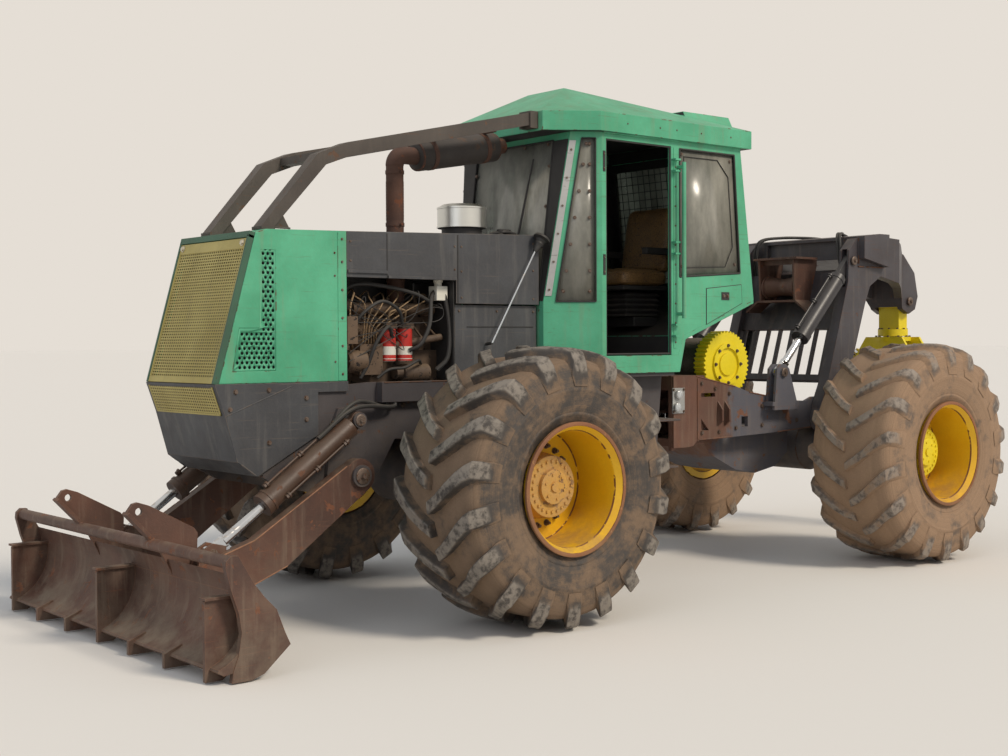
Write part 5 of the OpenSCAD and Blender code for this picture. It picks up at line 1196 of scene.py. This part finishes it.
def build_cab_trim():
    """Gaskets, bolts, strips, panels and rails on the outside of the cab."""
    gasket, strip, bolts, dark, panel, rail = (Form() for _ in range(6))
    screen_trim(gasket, bolts)
    for s in (-1, 1):
        window_trim(s, gasket, strip, bolts)
        shell_trim(s, bolts, dark, panel, rail)
    # Roof seams
    for d in (-1310, -1840):
        rail.block((d, d + 3), (-430, 430), (3070, 3070.2))
    gasket.piece("window_gaskets", FRONT, "hose_rubber")
    strip.piece("screen_corner_strips", FRONT, "bright_plate", bevel=0.001)
    bolts.piece("cab_bolts", FRONT, "bare_steel")
    # Painted shade of the hinge slots, the panel gaps and the latch recesses, with the doorway's seals, all
    # in black
    dark.piece("cab_painted_shade_and_seal", FRONT, "black_vinyl_and_shade")
    panel.piece("cab_access_panels", FRONT, "green_enamel", "green_enamel_edge", 0.0015)
    rail.piece("cab_rails", FRONT, "green_enamel", "green_enamel_edge", 0.0012)


def build_cab_inside():
    """Square mesh behind the back window, and the lining below the roof."""
    form = Form()

    def guard(y, z):
        """Place on the guard, which leans with the cab's back."""
        return at(-2445 + (z - 1894) * (2480 - 2337) / (2946 - 1894), y, z)

    for y in range(-560, 620, MESH_PITCH):
        form.rod(guard(y, 2045), guard(y, 2880), 0.0028, 6)
    for z in range(2075, 2900, MESH_PITCH):
        form.rod(guard(-568, z), guard(568, z), 0.0028, 6)
    form.piece("back_window_guard", FRONT, "black_vinyl_and_shade")
    form = Form()
    form.block((-2230, -880), (-610, 610), (3022, 3034))
    form.block((-1480, -1300), (-300, 300), (2985, 3022))
    form.piece("cab_lining", FRONT, "black_vinyl_and_shade", bevel=0.006)


def build_controls():
    """Levers, pedals, gauges and the boot of the steering column."""
    form = Form()
    for k, (d, y) in enumerate(((-1190, 150), (-1200, 190), (-1210, 230), (-1600, -330), (-1640, -330),
                                (-1680, -330))):
        foot = at(d + 60, y, 1990) if k < 3 else at(d, y, 1900)
        head = at(d - 20, y + 8, 2170 - 12 * k) if k < 3 else at(d + 40, y, 2200)
        form.rod(foot, head, 0.006, 10)
        form.lathe([(0.0, -0.022), (0.014, -0.016), (0.020, 0.0), (0.014, 0.016), (0.0, 0.022)],
                   head, (0, 0, 1), 16)
    for y in (-120, 120):
        form.block((-1230, -1218), (y - 45, y + 45), (1500, 1600))
        form.rod(at(-1224, y, 1550), at(-1120, y, 1520), 0.010, 10)
    form.block((-1700, -1560), (-400, -270), (1660, 1900))
    form.lathe([(0.062, 0.0), (0.058, 0.020), (0.046, 0.026), (0.044, 0.046), (0.034, 0.052), (0.030, 0.080)],
               at(-1118, 0, 2050), (-0.45, 0, 0.9), 24)
    form.piece("cab_levers", FRONT, "black_vinyl_and_shade", bevel=0.004)
    form = Form()
    for y in (-130, -60, 60, 130):
        form.lathe([(0.0, -0.003), (0.030, -0.003), (0.030, 0.006), (0.026, 0.008), (0.0, 0.008)],
                   at(-1120, y, 1985), (-1, 0, 0), 24)
    form.piece("gauge_rims", FRONT, "bright_plate")


def cushion(low, high, seat, channels, crown, seed):
    """Crowned closed cushion that pulls in between its corners, with sewn channels and a welt."""
    form = Form()
    middle = (Vector(low) + Vector(high)) / 2
    half = (Vector(high) - Vector(low)) / 2
    around, down = 72, 30

    def power(value, exponent):
        return math.copysign(abs(value) ** exponent, value)

    def skin(lat, lon):
        x = power(math.cos(lat), 0.34) * power(math.cos(lon), 0.30)
        y = power(math.cos(lat), 0.34) * power(math.sin(lon), 0.30)
        z = power(math.sin(lat), 0.62)
        pull = 1 - 0.035 * (1 - x * x) * abs(y) ** 3 - 0.035 * (1 - y * y) * abs(x) ** 3
        p = Vector((x * half.x * pull, y * half.y * pull, z * half.z))
        if z > 0:
            p.z += crown * (1 - x * x) * (1 - y * y) * z
            sewn = sum(0.007 * math.exp(-((y * half.y - c) / 0.007) ** 2) for c in channels)
            p.z -= sewn * z * (1 - x ** 8)
        p += Vector((1, 1, 1)) * 0.0025 * noise.noise(p * 18 + Vector((seed, 0, 0)))
        return seat @ (middle + p)

    rows = [[skin(-math.pi / 2 + math.pi * (i + 0.5) / down, 2 * math.pi * j / around) for j in range(around)]
            for i in range(down)]
    form.rings(rows)
    for lat in (0.30, -0.42):
        welt = [skin(lat, 2 * math.pi * j / 48) for j in range(48)]
        form.loop(welt, 0.0042, 6)
    return form


def build_seat():
    """Seat cushion and back in cracked vinyl, on a sprung base with a bellows."""
    flat = Matrix.Identity(4)
    low, high = at(-2085, -235, 1996), at(-1612, 235, 2112)
    pan = cushion(low, high, flat, CHANNELS, 0.016, 1.0)
    pan = pan.piece("seat_cushion", FRONT, "seat_vinyl", replaced=("seat",))
    foot, head = at(-2062, 0, 2090), at(-2150, 0, 2560)
    up = (head - foot).normalized()
    ahead = Vector((0, 1, 0)).cross(up)
    turn = Matrix((up, Vector((0, 1, 0)), ahead)).transposed().to_4x4()
    seat = Matrix.Translation((foot + head) / 2) @ turn
    back = cushion((-0.242, -0.228, -0.048), (0.242, 0.228, 0.052), seat, CHANNELS, 0.014, 2.0)
    back = back.piece("seat_back", FRONT, "seat_vinyl", replaced=("seat",))
    form = Form()
    form.block((-2080, -1640), (-205, 205), (1968, 1998))
    bellows = [(0.0, 0.0)]
    for i in range(5):
        bellows += [(0.250, 0.010 + 0.036 * i), (0.215, 0.028 + 0.036 * i)]
    form.lathe(bellows + [(0.0, 0.190)], at(-1870, 0, 1776), (0, 0, 1), 4)
    form.block((-2000, -1770), (-180, 180), (1712, 1780))
    for s in (-1, 1):
        form.block((-2070, -1790), (s * 262 - 26, s * 262 + 26), (2215, 2262))
        form.rod(at(-2060, s * 262, 2230), at(-2080, s * 215, 2150), 0.012, 12)
    form.piece("seat_base", FRONT, "black_vinyl_and_shade", bevel=0.006, replaced=("seat",))


# Blade, arch, rear frame and grapple

# Cylinders of the blade and the arch: the function that places them, their top pin and the direction along
# the barrel, both as (ahead, up)
BLADE_CYLINDER = (at, (790, 1170), (0.8134, -0.5816))
ARCH_CYLINDER = (tail, (-150, 2220), (0.705, -0.709))


def on_barrel(cylinder, run, off, y):
    """Place run millimetres along a barrel and off millimetres above its middle line."""
    place, pin, (ahead, up) = cylinder
    return place(pin[0] + ahead * run - up * off, y, pin[1] + up * run + ahead * off)


def barrel_axis(cylinder):
    """Direction along a barrel."""
    return Vector((cylinder[2][0], 0, cylinder[2][1]))


def pin_head(form, place, out, radius=0.030):
    """Pin's head with a bolt in its middle."""
    place, out = Vector(place), Vector(out).normalized()
    form.lathe([(0.0, -0.003), (radius, -0.003), (radius, 0.006), (radius * 0.84, 0.010), (0.0, 0.010)],
               place, out, 28)
    form.hex_head(place + out * 0.009, out, radius * 0.62, radius * 0.34)


def build_blade_trim():
    """Pin heads and weld beads of the blade and its arms, and the lines and hoses of its cylinders."""
    pins, welds, fixed, lines = Form(), Form(), Form(), Form()
    for s in (-1, 1):
        pin_head(fixed, at(820, s * 612, 860), (0, s, 0), 0.046)
        pin_head(fixed, at(790, s * 550, 1170), (0, s, 0), 0.034)
        pin_head(pins, at(1727, s * 544, 500), (0, s, 0), 0.034)
        for a, b in (((910, 918), (1500, 558)), ((1500, 558), (1780, 468)), ((1300, 402), (1560, 302)),
                     ((1560, 302), (1800, 192))):
            welds.side_weld(s * 588, a, b, 0.0045, 0.012, 11 + s)
        for y in (416, 474):
            welds.weld(at(1872, s * y, 415), at(1868, s * y, 205), 0.005, 0.012, 21 + s)
        for k, y in enumerate((1274, 1180, 1220)):
            welds.weld(at(1880, s * y, 380), at(1872, s * y, 215), 0.004, 0.014, 31 + k)
        # Hard line on each barrel, in two saddles, and its port blocks
        for off, run in ((76, (110, 690)), (-30, (140, 640))):
            y = s * (CYL + (0 if off > 0 else 66))
            ends = [on_barrel(BLADE_CYLINDER, r, off, y) for r in run]
            lines.tube([ends[0], ends[0].lerp(ends[1], 0.5), ends[1]], 0.007, 10)
            for share in (0.04, 0.5, 0.96):
                place = ends[0].lerp(ends[1], share)
                lines.hex_head(place, ends[1] - ends[0], 0.026, 0.022)
        gland = on_barrel(BLADE_CYLINDER, 712, 0, s * CYL)
        lines.band(gland, barrel_axis(BLADE_CYLINDER), 0.0675, 0.014, 0.004, 48)
    welds.weld(at(2016, -1270, 596), at(2016, 1270, 596), 0.005, 0.016, 41)
    pins.piece("blade_pins", "blade", "bare_steel")
    welds.piece("blade_welds", "blade", "rusty_plate_edge")
    fixed.piece("blade_pivot_pins", FRONT, "bare_steel")
    lines.piece("blade_cylinder_lines", "blade_barrels", "barrel_enamel")
    for name, s in SIDES.items():
        form = Form()
        for k, off in enumerate((0, 22)):
            start = at(520 - 40 * k, s * (418 + off / 2), 1275)
            out = at(540 - 40 * k, s * (428 + off), 1235)
            end = on_barrel(BLADE_CYLINDER, 150 + 120 * k, 78, s * (500 + off))
            bow = (out + end) / 2 + Vector((0.03, s * 0.03, 0.08))
            form.tube([start, out, bow, end], 0.0125, 10, 10)
        start, end = at(640, s * 470, 1230), on_barrel(BLADE_CYLINDER, 120, 80, s * 500)
        form.piece(f"blade_hose_{name}", FRONT, "hose_rubber", across=("blade_barrels", start, end))


def build_frame_trim():
    """Bolts and weld beads of the front frame, and the studs of the deck plates."""
    bolts, welds, treads = Form(), Form(), Form()
    for s in (-1, 1):
        bolts.side_bolts(s * FRONT_PLATE, (
            (-420, 1300), (-560, 1300), (-700, 1300), (-420, 1180), (-560, 1100), (-1160, 1300),
            (-1160, 1100), (-1160, 900), (500, 1240), (380, 1240), (220, 1300), (60, 1300)), 0.022, 0.014)
        welds.side_weld(s * 450, (-440, 1376), (556, 1376), 0.004, 0.012, 3)
        welds.side_weld(s * 634, (-1680, 1403), (-700, 1403), 0.004, 0.012, 4)
        bolts.bolts([at(d, s * 620, 1400) for d in (-1640, -1400, -1160, -920, -740)], (0, 0, 1), 0.016,
                    0.010)
    bolts.piece("frame_bolts", FRONT, "bare_steel")
    welds.piece("frame_welds", FRONT, "frame_enamel_edge")
    # Raised studs on the deck plate of each side
    for s in (-1, 1):
        for i in range(12):
            for j in range(3):
                treads.lathe([(0.0, -0.001), (0.008, -0.001), (0.006, 0.003), (0.0, 0.003)],
                             at(-1640 + 40 * i, s * (520 + 40 * j), 1400), (0, 0, 1), 10)
    treads.piece("deck_studs", FRONT, "frame_enamel_edge")


def build_rear_trim():
    """Lamp lenses, pin heads, bolts and weld beads of the rear frame, and the cable on the winch."""
    lens, pins, bolts, welds = Form(), Form(), Form(), Form()
    for s in (-1, 1):
        for d, z in ((-1886, 1152), (-1900, 1240)):
            lens.lathe([(0.0, -0.002), (0.028, -0.002), (0.028, 0.003), (0.020, 0.008), (0.0, 0.010)],
                       at(d, s * 492, z), (0, s, 0), 28)
        for z in (1120, 1272):
            bolts.side_bolts(s * 473, ((-1860, z), (-1960, z)), 0.014, 0.008)
        pin_head(pins, tail(690, s * 557, 1375), (0, s, 0), 0.033)
        pin_head(pins, tail(170, s * 569, 1020), (0, s, 0), 0.052)
        for i in range(8):
            a = 2 * math.pi * i / 8
            bolts.side_bolts(s * 416, [(1150 + 134 * math.cos(a), 1440 + 134 * math.sin(a))], 0.018, 0.012,
                             tail)
        plate = s * REAR_PLATE
        bolts.side_bolts(plate, ((1470, 1310), (1330, 1270), (1180, 1230), (1470, 960), (1290, 960),
                                 (1110, 980), (820, 990), (820, 1130), (420, 1010), (420, 1110), (-150, 1010),
                                 (-150, 1090)),
                         0.022, 0.013, tail)
        for a, b in (((1530, 1362), (1114, 1279)), ((960, 1234), (494, 1158)), ((1150, 918), (1500, 914)),
                     ((250, 952), (640, 932))):
            welds.side_weld(plate, a, b, 0.005, 0.012, 51, tail)
        welds.side_weld(plate + s * 2, (1514, 905), (1514, 1345), 0.006, 0.012, 52, tail)
    lens.piece("rear_frame_lamps", REAR, "lamp_lens")
    pins.piece("rear_pins", REAR, "bare_steel")
    bolts.piece("rear_bolts", REAR, "bare_steel")
    welds.piece("rear_welds", REAR, "primer_brown_edge")
    # Cable on the winch's drum, one turn beside the other
    form = Form()
    profile, turns, cable = [], 50, 0.0118
    for i in range(turns):
        y = -0.296 + cable * i
        profile += [(0.1820, y), (0.1880, y + 0.0022), (0.1910, y + 0.0059), (0.1880, y + 0.0096)]
    form.lathe(profile + [(0.1820, -0.296 + cable * turns)], WINCH, (0, 1, 0), 64)
    form.piece("winch_cable", REAR, "wire_rope")


def build_arch_trim():
    """Hoses up the arch and over its neck, with clamps, and its weld beads, pin heads and cylinder lines."""
    form, clamps, welds = Form(), Form(), Form()
    for s in (-1, 1):
        for k in range(2):
            y = 441 - 26 * k
            form.tube([tail(*p) for p in (
                (-20, s * y, 1400), (-105, s * y, 1700), (-168, s * y, 1980), (-176, s * y, 2140),
                (-150, s * (y - 8), 2290), (-178, s * (y - 40), 2420), (-330, s * (y - 130), 2452),
                (-560, s * (150 + 26 * k), 2450), (-760, s * (70 + 26 * k), 2424),
                (-1118, s * (66 + 26 * k), 2412), (-1300, s * (66 + 26 * k), 2376),
                (-1420, s * (66 + 26 * k), 2310), (-1550, s * (70 + 26 * k), 2186))], 0.0115, 10, 8)
        for d, z in ((-100, 1690), (-164, 1960)):
            clamps.block((d - 20, d + 20), (s * 400, s * 456), (z, z + 45), tail)
        for d, z in ((-820, 2402), (-1080, 2398)):
            clamps.block((d, d + 45), (s * 50, s * 110), (z - 4, z + 36), tail)
        pin_head(clamps, tail(-150, s * 557, 2220), (0, s, 0), 0.034)
        pin_head(clamps, tail(-1460, s * 172, 1935), (0, s, 0), 0.036)
        welds.side_weld(s * 548, (-218, 2200), (-218, 2400), 0.006, 0.012, 61, tail)
        welds.side_weld(s * 549, (-214, 2178), (-540, 2178), 0.006, 0.012, 62, tail)
        welds.side_weld(s * 547, (240, 1120), (160, 1286), 0.005, 0.012, 63, tail)
    form.piece("arch_hoses", "arch", "hose_rubber")
    clamps.piece("arch_fittings", "arch", "bare_steel")
    welds.piece("arch_welds", "arch", "arch_enamel_edge")
    lines = Form()
    for s in (-1, 1):
        for run in (215, 810):
            place = on_barrel(ARCH_CYLINDER, run, 0, s * ARCH)
            lines.band(place, barrel_axis(ARCH_CYLINDER), 0.0615, 0.020, 0.005, 40)
        ends = [on_barrel(ARCH_CYLINDER, run, 78, s * ARCH) for run in (230, 800)]
        lines.tube([ends[0], ends[0].lerp(ends[1], 0.5), ends[1]], 0.007, 10)
        for share in (0.02, 0.5, 0.98):
            lines.hex_head(ends[0].lerp(ends[1], share), ends[1] - ends[0], 0.028, 0.022)
    lines.piece("arch_cylinder_lines", "arch_barrels", "black_barrel_enamel")


def build_grapple_trim():
    """Bolts of the grapple's head and link."""
    head, link = Form(), Form()
    for i in range(10):
        a = 2 * math.pi * (i + 0.5) / 10
        for form, radius, z, size, height in ((head, 0.138, 1.635, 0.018, 0.012),
                                              (link, 0.112, 1.700, 0.016, 0.011)):
            spot = GRAPPLE + Vector((radius * math.cos(a), radius * math.sin(a), z))
            form.hex_head(spot, (0, 0, 1), size, height)
    head.piece("grapple_head_bolts", "grapple_head", "bare_steel")
    link.piece("grapple_link_bolts", "grapple_link", "bare_steel")


# Settings, steps and panel


class SkidderSizes(bpy.types.PropertyGroup):
    """Sizes that a user would change."""
    lens_mm: bpy.props.FloatProperty(
        name="Lens", description="Focal length of the studio camera on a 36 mm sensor", default=50.64, min=20,
        max=200)
    floor_size: bpy.props.FloatProperty(
        name="Floor", description="Side of the studio floor", default=600.0, min=10, subtype="DISTANCE",
        unit="LENGTH")
    key_strength: bpy.props.FloatProperty(
        name="Key light", description="Strength of the key light", default=2.3, min=0)
    sky_strength: bpy.props.FloatProperty(
        name="Sky light", description="Strength of the soft light from all round", default=0.55, min=0)


class SkidderColours(bpy.types.PropertyGroup):
    """Colours that a user would change."""
    floor: bpy.props.FloatVectorProperty(
        name="Floor", description="Colour of the studio floor", subtype="COLOR", size=4, min=0, max=1,
        default=linear("#DEDAD3"))
    backdrop: bpy.props.FloatVectorProperty(
        name="Backdrop", description="Colour that the camera sees behind the floor", subtype="COLOR", size=4,
        min=0, max=1, default=linear("#E5DED5"))


def camera_place():
    """Camera's place and turn, fitted to the photograph: heading, pitch and roll in degrees."""
    heading, pitch, roll = (math.radians(a) for a in (230.029, -1.472, -0.279))
    ahead = Vector((math.cos(pitch) * math.cos(heading), math.cos(pitch) * math.sin(heading),
                    math.sin(pitch)))
    right = ahead.cross(Vector((0, 0, 1))).normalized()
    up = right.cross(ahead)
    right_rolled = right * math.cos(roll) + up * math.sin(roll)
    up_rolled = up * math.cos(roll) - right * math.sin(roll)
    turn = Matrix((right_rolled, up_rolled, -ahead)).transposed().to_4x4()
    return Matrix.Translation(at(5311.8, 7207.6, 1610.7)) @ turn


class SKIDDER_OT_stage(bpy.types.Operator):
    """Makes the pale floor, the soft lights and the camera at the photograph's view"""
    bl_idname = "skidder.stage"
    bl_label = "Stage, lights and camera"

    def execute(self, context):
        sizes = context.scene.skidder_sizes
        colours = context.scene.skidder_colours
        half = sizes.floor_size / 2
        mesh = bpy.data.meshes.new("studio_floor")
        mesh.from_pydata([(-half, -half, 0), (half, -half, 0), (half, half, 0), (-half, half, 0)], [],
                         [(0, 1, 2, 3)])
        material, tree = blank("studio_floor_paint")
        shader = put(tree, "BsdfPrincipled", {"Base Color": tuple(colours.floor), "Roughness": 0.95})
        put(tree, "OutputMaterial", {"Surface": shader})
        mesh.materials.append(material)
        floor = bpy.data.objects.new("studio_floor", mesh)
        context.scene.collection.objects.link(floor)
        world = bpy.data.worlds.new("soft_studio")
        world.use_nodes = True
        tree = world.node_tree
        tree.nodes.clear()
        seen = put(tree, "LightPath", {}, "Is Camera Ray")
        for ray in ("Is Glossy Ray", "Is Transmission Ray"):
            seen = put(tree, "Math", {0: seen, 1: put(tree, "LightPath", {}, ray)}, operation="MAXIMUM")
        soft = put(tree, "Background", {"Color": linear("#EEF3FC"), "Strength": sizes.sky_strength})
        wall = put(tree, "Background", {"Color": tuple(colours.backdrop), "Strength": 1.0})
        put(tree, "OutputWorld", {"Surface": put(tree, "MixShader", {0: seen, 1: soft, 2: wall})})
        context.scene.world = world
        # Lights: name, place that the light comes from, spread in degrees, strength, colour
        lights = (("key", (-2.5, 9.0, 8.5), 14.0, sizes.key_strength, "#FFF3E2"),
                  ("front_fill", (9.0, 2.0, 4.0), 60.0, sizes.key_strength * 0.22, "#EAF2FF"))
        for name, place, spread, strength, colour in lights:
            lamp = bpy.data.lights.new(name, "SUN")
            lamp.angle = math.radians(spread)
            lamp.energy = strength
            lamp.color = linear(colour)[:3]
            made = bpy.data.objects.new(name, lamp)
            made.location = place
            made.rotation_mode = "QUATERNION"
            made.rotation_quaternion = Vector(place).to_track_quat("Z", "Y")
            context.scene.collection.objects.link(made)
        camera = bpy.data.cameras.new("photo_view")
        camera.lens = sizes.lens_mm
        camera.sensor_width = 36.0
        made = bpy.data.objects.new("photo_view", camera)
        made.matrix_world = camera_place()
        context.scene.collection.objects.link(made)
        context.scene.camera = made
        context.scene.view_settings.view_transform = "Standard"
        return {"FINISHED"}


class SKIDDER_OT_finishes(bpy.types.Operator):
    """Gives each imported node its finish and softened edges"""
    bl_idname = "skidder.finishes"
    bl_label = "Finishes of the packed nodes"

    def execute(self, context):
        for name in NODE_FINISH:
            finish_node(name)
        return {"FINISHED"}


class SKIDDER_OT_wheels(bpy.types.Operator):
    """Makes the four lugged tyres, and the flanges, hub caps and bolts of their wheels"""
    bl_idname = "skidder.wheels"
    bl_label = "Tyres and wheel fittings"

    def execute(self, context):
        for axle in AXLES:
            for side in SIDES:
                build_tyre(axle, side)
                build_wheel_fittings(axle, side)
        return {"FINISHED"}


class Step:
    """Shared by the operators that run a row of builders."""
    builders = ()

    def execute(self, context):
        for build in self.builders:
            build()
        return {"FINISHED"}


class SKIDDER_OT_nose(Step, bpy.types.Operator):
    """Makes the perforated grille, the nose's strips, bolts and welds, and the hood's trim"""
    bl_idname = "skidder.nose"
    bl_label = "Grille, nose and hood"
    builders = (build_grille, build_nose_trim, build_hood_trim)


class SKIDDER_OT_engine(Step, bpy.types.Operator):
    """Makes the engine's pipes, hoses and wires, and the skin and straps of the exhaust"""
    bl_idname = "skidder.engine"
    bl_label = "Engine bay and exhaust"
    builders = (build_bay, build_bay_lines, build_bay_fittings, build_exhaust)


class SKIDDER_OT_cab(Step, bpy.types.Operator):
    """Makes the cab's gaskets, panels, bolts and guard, and the seat and controls inside it"""
    bl_idname = "skidder.cab"
    bl_label = "Cab trim, seat and controls"
    builders = (build_cab_trim, build_cab_inside, build_controls, build_seat)


class SKIDDER_OT_blade(Step, bpy.types.Operator):
    """Makes the pins, welds, lines and hoses of the blade, and the front frame's bolts"""
    bl_idname = "skidder.blade"
    bl_label = "Blade and front frame trim"
    builders = (build_blade_trim, build_frame_trim)


class SKIDDER_OT_rear(Step, bpy.types.Operator):
    """Makes the lamps, bolts, cable, hoses and pins of the rear frame, arch and grapple"""
    bl_idname = "skidder.rear"
    bl_label = "Rear frame, arch and grapple trim"
    builders = (build_rear_trim, build_arch_trim, build_grapple_trim)


OPERATORS = [SKIDDER_OT_stage, SKIDDER_OT_finishes, SKIDDER_OT_wheels, SKIDDER_OT_nose, SKIDDER_OT_engine,
             SKIDDER_OT_cab, SKIDDER_OT_blade, SKIDDER_OT_rear]


class SKIDDER_PT_panel(bpy.types.Panel):
    """Lists the sizes, the colours and the steps that dress the skidder"""
    bl_label = "Grapple skidder"
    bl_idname = "SKIDDER_PT_panel"
    bl_space_type = "VIEW_3D"
    bl_region_type = "UI"
    bl_category = "Skidder"

    def draw(self, context):
        for group in (context.scene.skidder_sizes, context.scene.skidder_colours):
            for key in group.bl_rna.properties.keys():
                if key not in ("rna_type", "name"):
                    self.layout.prop(group, key)
        for operator in OPERATORS:
            self.layout.operator(operator.bl_idname)


CLASSES = [SkidderSizes, SkidderColours, *OPERATORS, SKIDDER_PT_panel]


def register():
    for made in CLASSES:
        bpy.utils.register_class(made)
    bpy.types.Scene.skidder_sizes = bpy.props.PointerProperty(type=SkidderSizes)
    bpy.types.Scene.skidder_colours = bpy.props.PointerProperty(type=SkidderColours)


def unregister():
    del bpy.types.Scene.skidder_colours
    del bpy.types.Scene.skidder_sizes
    for made in reversed(CLASSES):
        bpy.utils.unregister_class(made)


def main():
    """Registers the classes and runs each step."""
    register()
    for operator in OPERATORS:
        group, step = operator.bl_idname.split(".")
        getattr(getattr(bpy.ops, group), step)()


if __name__ == "__main__":
    main()
